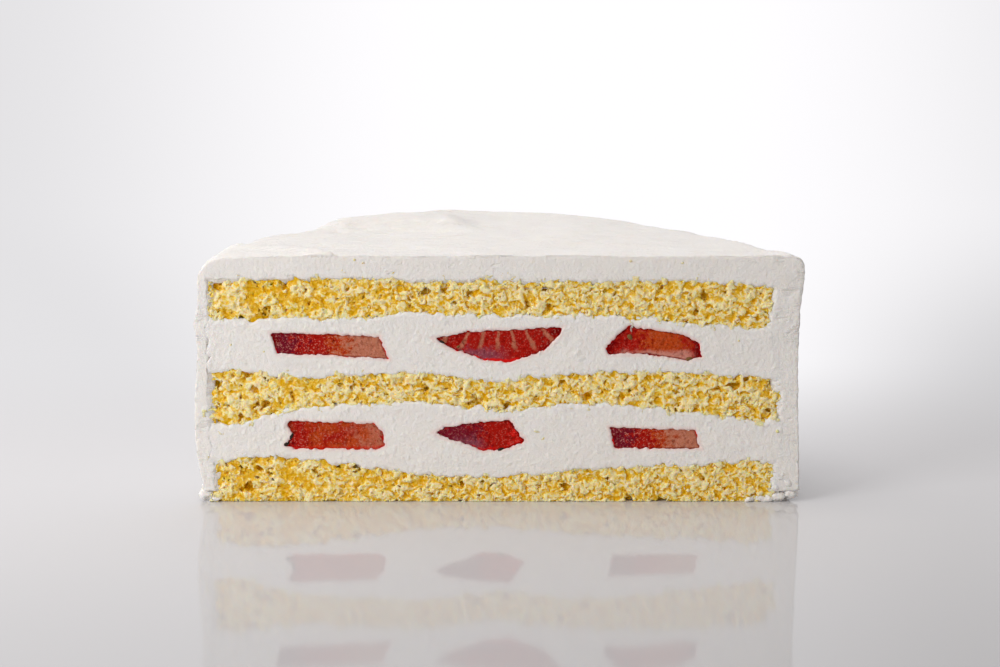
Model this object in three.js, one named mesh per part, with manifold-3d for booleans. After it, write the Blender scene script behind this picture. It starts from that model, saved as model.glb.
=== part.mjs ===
// Half of a round strawberry shortcake, standing on its base with the knife cut facing -Y.
// Three sponge layers with two layers of whipped cream between them, three strawberry slices
// in each cream layer, and a coat of whipped cream over the top and round the curved side.
// Millimetres, +Z up. The origin is the middle of the bounding box's underside.

import * as THREE from "three";
import { mergeVertices } from "three/addons/utils/BufferGeometryUtils.js";
import Module from "manifold-3d";

const wasm = await Module();
wasm.setup();

// ---- Driving dimensions ------------------------------------------------------------------

const CAKE_HEIGHT = 62.5; // floor to the top edge of the cut
const COAT_FOOT = 2.2; // the coat's lower edge stays this far above the base
const GAP = 0.3; // clear space between neighbouring pieces
const ROOM_SPREAD = 0.48; // the same round the side, where coat and layers curve in other steps
const ROOM_BASE = -4; // the room inside the coat is cut from below the base
const ROOM_FRONT = -3; // and from in front of the cut
const BED_FRONT = -2; // and so is each slice's bed in the cream

// Heights across the cut, at even stations from the left end of the sponge to the right.
const STATION_LEFT = -69.2;
const STATION_RIGHT = 65.2;
const HEIGHTS = {
  bottomSpongeTop: [11.6, 12.0, 9.8, 7.9, 7.2, 8.4, 9.6, 10.0, 11.6],
  middleSpongeBase: [18.2, 22.7, 24.2, 24.6, 22.6, 23.9, 23.8, 22.5, 19.8],
  middleSpongeTop: [34.7, 32.9, 33.2, 33.5, 31.3, 33.2, 33.8, 33.8, 32.5],
  topSpongeBase: [45.1, 45.8, 46.2, 47.0, 46.8, 46.6, 46.3, 44.6, 43.3],
  topSpongeTop: [57.0, 57.4, 57.6, 57.0, 57.4, 57.0, 56.9, 56.9, 55.4],
};

// Ends of the sponge stack along the cut, from the base up.
const STACK_LEVELS = [0, 14, 28, 44, 58];
const STACK_LEFT = [-71.4, -72.4, -73.0, -72.8, -72.6];
const STACK_RIGHT = [68.6, 70.2, 70.8, 66.8, 69.6];

// Outer radius of the coat's wall at its two cut ends, from the foot up.
const WALL_LEVELS = [2, 10, 18, 28, 38, 45.5, 51, 58];
const WALL_LEFT = [73.4, 75.5, 76.0, 75.7, 74.5, 75.7, 74.4, 74.6];
const WALL_RIGHT = [75.2, 74.7, 74.4, 74.3, 74.1, 74.3, 74.7, 75.5];

// Shoulder where the top turns over into the wall: its radius round the curve, from the right
// end of the cut, by the back, to the left end.
const SHOULDER = [2.8, 7.4, 8.5, 5.0, 3.5, 6.0, 8.0, 6.2, 6.2];
// How far the top surface stands above or below the cut's top edge, at the same places.
const RIM_RISE = [0, -1.5, -1.7, 0.4, 0.7, 1.8, -0.8, -0.9, -0.3];
const TOP_HOLLOW = 0.5; // the top sinks this much between its middle and its rim
const TOP_FROM_CUT = 14; // the top's unevenness sets in over this distance behind the cut

// Slow waves that the palette knife leaves: height, then turns per millimetre or per radian.
const TOP_STROKES = [
  { height: 0.16, x: 0.11, y: 0.21, shift: 0 },
  { height: 0.12, x: 0.27, y: -0.13, shift: 1.3 },
];
const WALL_STROKES = [
  { height: 0.3, angle: 5.3, z: 0.05 },
  { height: 0.18, angle: 3.1, z: 0.24 },
];
const FOOT_WAVE = { height: 0.5, angle: 7 };

// ---- Crumb of the sponge -------------------------------------------------------------------

const STATION_STEP = 2.9; // columns along the cut
const END_STEPS = [0, 0.15, 0.6, 1.6, 3.2, 5.4]; // columns near an end, where the back turns fastest
const END_CLEAR = 5.8; // the even columns start this far from an end
const FRINGE = 0.55; // half the height of the teeth where sponge meets cream
const FRINGE_DEPTH = 5; // the teeth fade out this far behind the cut
const FRINGE_END = 66; // and end this far from the middle of the cut,
const FRINGE_FADE = 6; // over this length
const TORN = 0.5; // the knife leaves the crumb up to this far behind the cut
const HOLES_PER_CM2 = 4.2;
const CRUMBS_PER_CM2 = 1.2;
const SMALL_HOLE = 1.0; // radii
const LARGE_HOLE = 2.6;
const CRUMB = 0.85;
const LARGE_SHARE = [0.2, 0.04]; // of the holes, at the left end and at the right
const ROUNDER_FROM = 1.5; // lumps of this radius and more have twenty faces, smaller ones eight
const RELIEF_EDGE = 2; // the relief stays this far from the ends of the layer

// ---- Strawberry slices ---------------------------------------------------------------------

// Each outline runs round the slice on the cut, from the lower left by the right: x and z from
// its middle.
const SLICES = {
  strawberry_upper_left: {
    at: [-42.0, 39.9],
    reach: 17,
    outline: [[-13.0, -2.4], [0.4, -2.8], [15.0, -3.7], [12.6, 2.4], [-0.5, 2.9], [-14.8, 3.4]],
  },
  strawberry_upper_middle: {
    at: [-0.2, 40.6],
    reach: 20,
    outline: [
      [-12.4, -1.4], [-3.8, -4.6], [3.2, -5.2], [11.0, -2.4], [15.4, 1.2],
      [16.4, 4.2], [5.0, 3.6], [-8.0, 2.9], [-16.6, 1.2],
    ],
  },
  strawberry_upper_right: {
    at: [38.4, 40.4],
    reach: 15,
    outline: [
      [-11.6, -3.1], [-2.0, -2.9], [8.6, -4.6], [11.9, -3.5], [11.2, 0.4],
      [7.2, 2.4], [0.4, 3.5], [-6.4, 4.5], [-9.6, 1.9], [-12.2, -1.2],
    ],
  },
  strawberry_lower_left: {
    at: [-40.4, 17.3],
    reach: 16,
    outline: [
      [-12.6, 2.0], [-11.2, -0.2], [-13.2, -2.9], [-10.8, -3.9], [10.0, -3.9],
      [12.2, -3.0], [11.6, 1.0], [9.2, 3.0], [-2.0, 3.3], [-12.2, 3.8],
    ],
  },
  strawberry_lower_middle: {
    at: [-4.6, 17.2],
    reach: 15,
    outline: [
      [-9.4, -0.9], [-4.6, -2.5], [0.6, -4.3], [7.4, -3.6], [11.4, -1.6],
      [9.6, 0.8], [7.2, 4.0], [-1.0, 3.3], [-8.6, 2.4], [-12.3, 0.4],
    ],
  },
  strawberry_lower_right: {
    at: [38.9, 16.5],
    reach: 16,
    outline: [[-10.2, -2.8], [0.0, -3.0], [11.6, -3.0], [10.0, 2.2], [0.2, 2.5], [-11.8, 2.9]],
  },
};
const SLICE_RECESS = 0.35; // the slices stand this far behind the cut
const SLICE_RINGS = [0.45, 0.75, 0.93]; // shares of the reach where the rounded end is stepped
const SLICE_THINNEST = 0.75; // of its thickness that a slice keeps at its far end

// ---- Colours ---------------------------------------------------------------------------------

const FINISH = {
  sponge: new THREE.MeshStandardMaterial({ color: 0xe6c358, roughness: 0.95, metalness: 0 }),
  cream: new THREE.MeshStandardMaterial({ color: 0xf0ece6, roughness: 0.55, metalness: 0 }),
  coat: new THREE.MeshStandardMaterial({ color: 0xf4f1ec, roughness: 0.45, metalness: 0 }),
  strawberry: new THREE.MeshStandardMaterial({ color: 0xa81f1c, roughness: 0.35, metalness: 0 }),
};

// ---- Small helpers ---------------------------------------------------------------------------

function seededRandom(seed) {
  let state = seed >>> 0;
  return () => {
    state = (state + 0x6d2b79f5) >>> 0;
    let t = Math.imul(state ^ (state >>> 15), 1 | state);
    t = (t + Math.imul(t ^ (t >>> 7), 61 | t)) ^ t;
    return ((t ^ (t >>> 14)) >>> 0) / 4294967296;
  };
}

// A smooth curve through values that stand at even steps from 0 to 1.
function smoothThrough(values, share) {
  const last = values.length - 1;
  const place = THREE.MathUtils.clamp(share, 0, 1) * last;
  const i = Math.min(Math.floor(place), last - 1);
  const t = place - i;
  const at = (k) => values[THREE.MathUtils.clamp(k, 0, last)];
  const slope0 = (at(i + 1) - at(i - 1)) / 2;
  const slope1 = (at(i + 2) - at(i)) / 2;
  const t2 = t * t;
  const t3 = t2 * t;
  return (
    (2 * t3 - 3 * t2 + 1) * at(i) +
    (t3 - 2 * t2 + t) * slope0 +
    (3 * t2 - 2 * t3) * at(i + 1) +
    (t3 - t2) * slope1
  );
}

// The same for values that stand at uneven levels: straight between them.
function straightThrough(levels, values, level) {
  let i = 0;
  while (i < levels.length - 2 && level > levels[i + 1]) i += 1;
  const t = THREE.MathUtils.clamp((level - levels[i]) / (levels[i + 1] - levels[i]), 0, 1);
  return values[i] + (values[i + 1] - values[i]) * t;
}

// Collects corners and faces; corners that fall together are merged and their slivers dropped.
class Skin {
  constructor() {
    this.points = [];
  }

  triangle(a, b, c) {
    this.points.push(...a, ...b, ...c);
  }

  quad(a, b, c, d) {
    this.triangle(a, b, c);
    this.triangle(a, c, d);
  }

  geometry() {
    const loose = new THREE.BufferGeometry();
    loose.setAttribute("position", new THREE.Float32BufferAttribute(this.points, 3));
    const merged = mergeVertices(loose, 1e-4);
    const kept = [];
    const index = merged.index.array;
    for (let i = 0; i < index.length; i += 3) {
      const [a, b, c] = [index[i], index[i + 1], index[i + 2]];
      if (a !== b && b !== c && a !== c) kept.push(a, b, c);
    }
    merged.setIndex(kept);
    return merged;
  }
}

// Triangles that fill a flat outline, all turning the way x turns to z.
function fillOutline(contour) {
  return THREE.ShapeUtils.triangulateShape(contour, []).map(([a, b, c]) => {
    const corner = [contour[a], contour[b], contour[c]];
    return THREE.ShapeUtils.area(corner) > 0 ? [a, b, c] : [a, c, b];
  });
}

function toSolid(geometry) {
  const bare = geometry.clone();
  bare.deleteAttribute("normal");
  bare.deleteAttribute("uv");
  const merged = mergeVertices(bare, 1e-4);
  return new wasm.Manifold(
    new wasm.Mesh({
      numProp: 3,
      vertProperties: Float32Array.from(merged.attributes.position.array),
      triVerts: Uint32Array.from(merged.index.array),
    }),
  );
}

function toGeometry(solid) {
  const mesh = solid.getMesh();
  const geometry = new THREE.BufferGeometry();
  geometry.setAttribute("position", new THREE.BufferAttribute(mesh.vertProperties, 3));
  geometry.setIndex(new THREE.BufferAttribute(mesh.triVerts, 1));
  geometry.computeVertexNormals();
  return geometry;
}

// Keeps the largest of the bodies that a cut leaves.
function largest(solid) {
  const bodies = solid.decompose();
  return bodies.reduce((a, b) => (b.volume() > a.volume() ? b : a));
}

function addPiece(name, geometry, finish) {
  const mesh = new THREE.Mesh(geometry, finish);
  mesh.name = name;
  cake.add(mesh);
}

// ---- Surfaces shared by neighbouring pieces --------------------------------------------------

// Height of the teeth along the cut, straight from station to station; each surface has its
// own seed, and the teeth die out towards the ends.
function tooth(x, seed) {
  const place = x / STATION_STEP;
  const station = Math.floor(place);
  const inside = THREE.MathUtils.clamp((FRINGE_END - Math.abs(x)) / FRINGE_FADE, 0, 1);
  const tip = (k) => (seededRandom(k * 7919 + seed * 104729)() * 2 - 1) * FRINGE * inside;
  return THREE.MathUtils.lerp(tip(station), tip(station + 1), place - station);
}

// Height of the surface between two layers, y being the depth behind the cut.
function surface(name, x, y) {
  const seed = Object.keys(HEIGHTS).indexOf(name) + 1;
  const share = (x - STATION_LEFT) / (STATION_RIGHT - STATION_LEFT);
  const fade = Math.max(0, 1 - y / FRINGE_DEPTH);
  return smoothThrough(HEIGHTS[name], share) + tooth(x, seed) * fade;
}

function stackEnds(z) {
  return {
    left: straightThrough(STACK_LEVELS, STACK_LEFT, z),
    right: straightThrough(STACK_LEVELS, STACK_RIGHT, z),
  };
}

// Distance from the cut to the curved back at x, for a half circle between two ends.
function chordDepth({ left, right }, x) {
  const radius = (right - left) / 2;
  return Math.sqrt(Math.max(radius ** 2 - (x - (left + right) / 2) ** 2, 0));
}

// A half-round slab between two surfaces. Its columns stand at the same stations in every
// layer, so neighbouring layers follow each other exactly.
function slab({ base, top, rise, spread, front, shares, torn = () => 0 }) {
  const skin = new Skin();
  const middle = (base(0, 0) + top(0, 0)) / 2;
  const ends = stackEnds(middle);
  const inner = STACK_LEVELS.concat(base(0, 0), top(0, 0))
    .filter((z) => z >= base(0, 0) && z <= top(0, 0))
    .map(stackEnds);
  const innerLeft = Math.max(...inner.map((end) => end.left)) + END_CLEAR;
  const innerRight = Math.min(...inner.map((end) => end.right)) - END_CLEAR;
  const stations = END_STEPS.map((step) => ends.left - spread + step);
  const lastEven = Math.floor(innerRight / STATION_STEP);
  for (let k = Math.ceil(innerLeft / STATION_STEP); k <= lastEven; k += 1) {
    stations.push(k * STATION_STEP);
  }
  stations.push(...END_STEPS.map((step) => ends.right + spread - step).reverse());
  const depths = [front, FRINGE_DEPTH, Infinity];

  const point = (i, j, share) => {
    const x = stations[i];
    const isEnd = i === 0 || i === stations.length - 1;
    const depthHere = isEnd ? 0 : Math.min(Math.max(depths[j], 0), chordDepth(ends, x));
    const z0 = base(x, depthHere) + rise[0];
    const z1 = top(x, depthHere) + rise[1];
    const z = z0 + (z1 - z0) * share;
    const here = stackEnds(z);
    const wide = { left: here.left - spread, right: here.right + spread };
    if (isEnd) return [i === 0 ? wide.left : wide.right, front, z];
    // Near an end the columns keep their distance from it as it leans.
    let along = x;
    const fromRight = stations.length - 1 - i;
    if (i < END_STEPS.length) along = wide.left + END_STEPS[i];
    if (fromRight < END_STEPS.length) along = wide.right - END_STEPS[fromRight];
    const depth = j === 0 ? front + torn(i, share) : depths[j];
    return [along, Math.min(depth, chordDepth(wide, along)), z];
  };

  for (let i = 0; i < stations.length - 1; i += 1) {
    for (let j = 0; j < depths.length - 1; j += 1) {
      skin.quad(point(i, j, 1), point(i + 1, j, 1), point(i + 1, j + 1, 1), point(i, j + 1, 1));
      skin.quad(point(i, j, 0), point(i, j + 1, 0), point(i + 1, j + 1, 0), point(i + 1, j, 0));
    }
    for (let k = 0; k < shares.length - 1; k += 1) {
      const [low, high] = [shares[k], shares[k + 1]];
      const far = depths.length - 1;
      skin.quad(point(i, 0, low), point(i + 1, 0, low), point(i + 1, 0, high), point(i, 0, high));
      skin.quad(
        point(i + 1, far, low), point(i, far, low), point(i, far, high), point(i + 1, far, high),
      );
    }
  }
  return toSolid(skin.geometry());
}

// ---- Sponge ------------------------------------------------------------------------------------

// A rough lump, turned and stretched by the given random source.
function lump(radius, x, y, z, random) {
  const shape =
    radius < ROUNDER_FROM
      ? new THREE.OctahedronGeometry(radius)
      : new THREE.IcosahedronGeometry(radius);
  shape.scale(0.8 + random() * 0.7, 0.7 + random() * 0.4, 0.7 + random() * 0.4);
  shape.rotateX(random() * Math.PI);
  shape.rotateY((random() - 0.5) * 0.8);
  shape.rotateZ(random() * Math.PI);
  shape.translate(x, y, z);
  return toSolid(shape);
}

// Open bubbles and standing crumbs, spread evenly over the cut by a seeded draw. The largest
// bubbles lie towards the left end.
function crumbRelief(base, top, seed) {
  const random = seededRandom(seed);
  const ends = stackEnds((base(0, 0) + top(0, 0)) / 2);
  const width = ends.right - ends.left;
  const height = top(0, 0) - base(0, 0);
  const area = (width * height) / 100;
  const placed = [];
  const draw = (count, pick) => {
    const lumps = [];
    for (let tries = 0; lumps.length < count && tries < count * 40; tries += 1) {
      const x = ends.left + RELIEF_EDGE + random() * (width - 2 * RELIEF_EDGE);
      const low = base(x, 0);
      const high = top(x, 0);
      const { radius, depth, margin } = pick((x - ends.left) / width);
      if (high - low < 2 * margin) continue;
      const z = low + margin + random() * (high - low - 2 * margin);
      const clear = placed.every(
        (p) => Math.hypot(p.x - x, p.z - z) > 0.95 * (p.radius + radius),
      );
      if (!clear) continue;
      placed.push({ x, z, radius });
      lumps.push(lump(radius, x, depth, z, random));
    }
    return lumps;
  };
  const holes = draw(Math.round(area * HOLES_PER_CM2), (share) => {
    const big = random() < THREE.MathUtils.lerp(...LARGE_SHARE, share);
    const radius = big
      ? LARGE_HOLE * (0.65 + 0.35 * random())
      : SMALL_HOLE * (0.8 + 0.9 * random());
    return { radius, depth: radius * 0.25, margin: radius * 0.25 };
  });
  const crumbs = draw(Math.round(area * CRUMBS_PER_CM2), () => {
    const radius = CRUMB * (0.7 + 0.6 * random());
    return { radius, depth: radius * 0.35, margin: radius * 1.5 + FRINGE };
  });
  return { holes: wasm.Manifold.union(holes), crumbs: wasm.Manifold.union(crumbs) };
}

function sponge(base, top, rise, seed) {
  const torn = (i, share) => TORN * seededRandom(seed + i * 31 + share * 1009)();
  const body = slab({ base, top, rise, spread: 0, front: 0, shares: [0, 0.5, 1], torn });
  const relief = crumbRelief(base, top, seed);
  return toGeometry(largest(body.add(relief.crumbs).subtract(relief.holes)));
}

// ---- Strawberry slices ---------------------------------------------------------------------------

// A flat slice cut from a berry: its outline on the cut runs back and narrows to a round end.
function slice({ at, reach, outline }, spread, front) {
  const skin = new Skin();
  const xs = outline.map((p) => p[0]);
  const zs = outline.map((p) => p[1]);
  const halfWidth = (Math.max(...xs) - Math.min(...xs)) / 2;
  const halfHeight = (Math.max(...zs) - Math.min(...zs)) / 2;
  const ring = (share, y) => {
    const narrow = Math.sqrt(1 - share * share);
    return outline.map(([x, z]) => [
      at[0] + x * narrow * (1 + spread / halfWidth),
      y,
      at[1] + z * THREE.MathUtils.lerp(SLICE_THINNEST, 1, narrow) * (1 + spread / halfHeight),
    ]);
  };
  const rings = [ring(0, SLICE_RECESS)];
  if (front < SLICE_RECESS) rings.unshift(ring(0, front));
  for (const share of SLICE_RINGS) rings.push(ring(share, share * (reach + spread)));
  const last = rings[rings.length - 1];
  for (const [a, b, c] of fillOutline(outline.map(([x, z]) => new THREE.Vector2(x, z)))) {
    skin.triangle(rings[0][a], rings[0][b], rings[0][c]);
    skin.triangle(last[a], last[c], last[b]);
  }
  for (let k = 0; k < rings.length - 1; k += 1) {
    outline.forEach((_, i) => {
      const before = (i + outline.length - 1) % outline.length;
      skin.quad(rings[k][i], rings[k][before], rings[k + 1][before], rings[k + 1][i]);
    });
  }
  return toSolid(skin.geometry());
}

// ---- Cream layers ----------------------------------------------------------------------------------

function creamLayer(base, top, names) {
  const rise = [GAP / 2, -GAP / 2];
  const body = slab({ base, top, rise, spread: 0, front: 0, shares: [0, 0.8, 1] });
  const beds = names.map((name) => slice(SLICES[name], GAP, BED_FRONT));
  return toGeometry(largest(body.subtract(wasm.Manifold.union(beds))));
}

// ---- Coat --------------------------------------------------------------------------------------------

// Height of the top at a share of the way from the middle to the rim. Slow strokes of the
// palette knife cross it, and it dips towards the back corners.
function topHeight(x, y, share, round) {
  let strokes = 0;
  for (const wave of TOP_STROKES) {
    strokes += wave.height * Math.sin(wave.x * x + wave.y * y + wave.shift);
  }
  const fromCut = THREE.MathUtils.smoothstep(y, 0, TOP_FROM_CUT);
  const rim = smoothThrough(RIM_RISE, round) * share ** 3;
  const hollow = -TOP_HOLLOW * Math.sin(Math.PI * share) * fromCut;
  return CAKE_HEIGHT + rim + (strokes + hollow) * fromCut;
}

function wallRadius(angle, z) {
  const round = angle / Math.PI;
  const right = straightThrough(WALL_LEVELS, WALL_RIGHT, z);
  const left = straightThrough(WALL_LEVELS, WALL_LEFT, z);
  let strokes = 0;
  for (const wave of WALL_STROKES) {
    strokes += wave.height * Math.sin(wave.angle * angle + wave.z * z);
  }
  return right + (left - right) * round + strokes * Math.sin(angle);
}

function coat() {
  const skin = new Skin();
  const turns = 42;
  const topShares = [0, 0.35, 0.6, 0.8, 0.92];
  const shoulderSteps = 4;
  const wallSteps = 10;

  const profile = (step) => {
    const round = step / turns;
    const angle = Math.PI * round;
    const shoulder = smoothThrough(SHOULDER, round);
    const across = Math.cos(angle);
    const back = step === 0 || step === turns ? 0 : Math.sin(angle);
    const rimRadius = wallRadius(angle, CAKE_HEIGHT - shoulder);
    const flat = rimRadius - shoulder;
    const points = [];
    for (const share of topShares) {
      const r = flat * (share / topShares[topShares.length - 1]);
      points.push([r * across, r * back, topHeight(r * across, r * back, share, round)]);
    }
    const edge = points[points.length - 1][2];
    for (let k = 1; k <= shoulderSteps; k += 1) {
      const turn = (Math.PI / 2) * (k / shoulderSteps);
      const r = flat + shoulder * Math.sin(turn);
      points.push([r * across, r * back, edge - shoulder * (1 - Math.cos(turn))]);
    }
    const wallTop = edge - shoulder;
    const foot = COAT_FOOT + FOOT_WAVE.height * Math.sin(FOOT_WAVE.angle * angle);
    for (let k = 1; k <= wallSteps; k += 1) {
      const z = wallTop + ((foot - wallTop) * k) / wallSteps;
      const r = wallRadius(angle, z);
      points.push([r * across, r * back, z]);
    }
    points.push([0, 0, foot]);
    return points;
  };

  const profiles = [];
  for (let step = 0; step <= turns; step += 1) profiles.push(profile(step));
  const middleTop = profiles[0][0];
  const middleFoot = [0, 0, COAT_FOOT];
  for (const points of profiles) {
    points[0] = middleTop;
    points[points.length - 1] = middleFoot;
  }
  for (let step = 0; step < turns; step += 1) {
    const here = profiles[step];
    const next = profiles[step + 1];
    for (let k = 0; k < here.length - 1; k += 1) {
      skin.quad(here[k], here[k + 1], next[k + 1], next[k]);
    }
  }
  const right = profiles[0];
  const left = profiles[turns];
  const outline = [...right, ...left.slice(1, -1).reverse()];
  for (const [a, b, c] of fillOutline(outline.map(([x, , z]) => new THREE.Vector2(x, z)))) {
    skin.triangle(outline[a], outline[b], outline[c]);
  }
  const outer = toSolid(skin.geometry());
  // The room that the layers fill, cut out of the coat from below and from the front.
  const roomTop = surface("topSpongeTop", 0, 0);
  const kinks = STACK_LEVELS.slice(0, -1).map((z) => (z - ROOM_BASE) / (roomTop - ROOM_BASE));
  const room = slab({
    base: () => ROOM_BASE,
    top: (x, y) => surface("topSpongeTop", x, y),
    rise: [0, GAP],
    spread: ROOM_SPREAD,
    front: ROOM_FRONT,
    shares: [0, ...kinks, 1],
  });
  return toGeometry(largest(outer.subtract(room)));
}

// ---- The cake ------------------------------------------------------------------------------------------

const cake = new THREE.Group();
cake.name = "shortcake";

const floorLevel = () => 0;
const level = (name) => (x, y) => surface(name, x, y);

addPiece(
  "sponge_bottom",
  sponge(floorLevel, level("bottomSpongeTop"), [0, -GAP / 2], 11),
  FINISH.sponge,
);
addPiece(
  "cream_lower",
  creamLayer(level("bottomSpongeTop"), level("middleSpongeBase"), [
    "strawberry_lower_left", "strawberry_lower_middle", "strawberry_lower_right",
  ]),
  FINISH.cream,
);
addPiece(
  "sponge_middle",
  sponge(level("middleSpongeBase"), level("middleSpongeTop"), [GAP / 2, -GAP / 2], 23),
  FINISH.sponge,
);
addPiece(
  "cream_upper",
  creamLayer(level("middleSpongeTop"), level("topSpongeBase"), [
    "strawberry_upper_left", "strawberry_upper_middle", "strawberry_upper_right",
  ]),
  FINISH.cream,
);
addPiece(
  "sponge_top",
  sponge(level("topSpongeBase"), level("topSpongeTop"), [GAP / 2, 0], 37),
  FINISH.sponge,
);
addPiece("coat", coat(), FINISH.coat);
for (const [name, shape] of Object.entries(SLICES)) {
  addPiece(name, toGeometry(slice(shape, 0, SLICE_RECESS)), FINISH.strawberry);
}

const bounds = new THREE.Box3().setFromObject(cake);
const middle = bounds.getCenter(new THREE.Vector3());
cake.position.set(-middle.x, -middle.y, -bounds.min.z);

export default cake;
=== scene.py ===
"""The looks of half a strawberry shortcake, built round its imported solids.

Every layer that shows on the cut gets a fine skin over the first millimetres behind the knife:
open crumb for the sponge, smeared cream, moist fruit. The rest of each piece is its own solid,
cut off behind that skin. The coat of cream is a spun shell, fitted to its solid and stroked by
the palette knife. Sizes in the classes are millimetres; Blender's own lengths are metres.
"""

from __future__ import annotations

import logging
import math
from dataclasses import dataclass
from enum import Enum
from functools import reduce
from typing import Callable, Sequence, Union

import bpy
import numpy as np
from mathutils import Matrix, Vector
from mathutils.bvhtree import BVHTree


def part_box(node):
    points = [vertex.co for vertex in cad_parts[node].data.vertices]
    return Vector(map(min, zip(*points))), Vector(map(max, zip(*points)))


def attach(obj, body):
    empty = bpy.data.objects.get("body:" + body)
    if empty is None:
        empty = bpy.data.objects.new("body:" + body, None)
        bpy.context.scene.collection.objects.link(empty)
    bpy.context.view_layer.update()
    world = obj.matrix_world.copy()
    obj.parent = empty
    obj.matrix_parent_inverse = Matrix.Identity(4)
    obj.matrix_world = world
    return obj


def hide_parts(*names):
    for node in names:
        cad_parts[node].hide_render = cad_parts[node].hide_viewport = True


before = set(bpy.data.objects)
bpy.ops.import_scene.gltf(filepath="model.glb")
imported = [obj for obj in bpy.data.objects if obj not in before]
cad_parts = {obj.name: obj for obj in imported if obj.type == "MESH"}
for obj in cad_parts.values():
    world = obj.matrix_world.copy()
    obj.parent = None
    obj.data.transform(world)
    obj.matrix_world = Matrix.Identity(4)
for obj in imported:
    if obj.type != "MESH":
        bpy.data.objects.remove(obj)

MM = 0.001
BODY = "root"
LOG = logging.getLogger("shortcake")

# The cut plane, in metres: the strawberry slices stand 0.35 mm behind it.
CUT_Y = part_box("strawberry_upper_left")[0].y - 0.35 * MM

# How far the dressed layers stay above the table, in millimetres.
TABLE_GAP = 0.02

# How much the palette knife's sweeps over the top bow, per millimetre.
BOW = 0.0016

Socket = bpy.types.NodeSocket
Operand = Union[Socket, float, int, Sequence[float]]
Colour = tuple[float, float, float]


# ---- Node trees ----------------------------------------------------------------------------------


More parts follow.
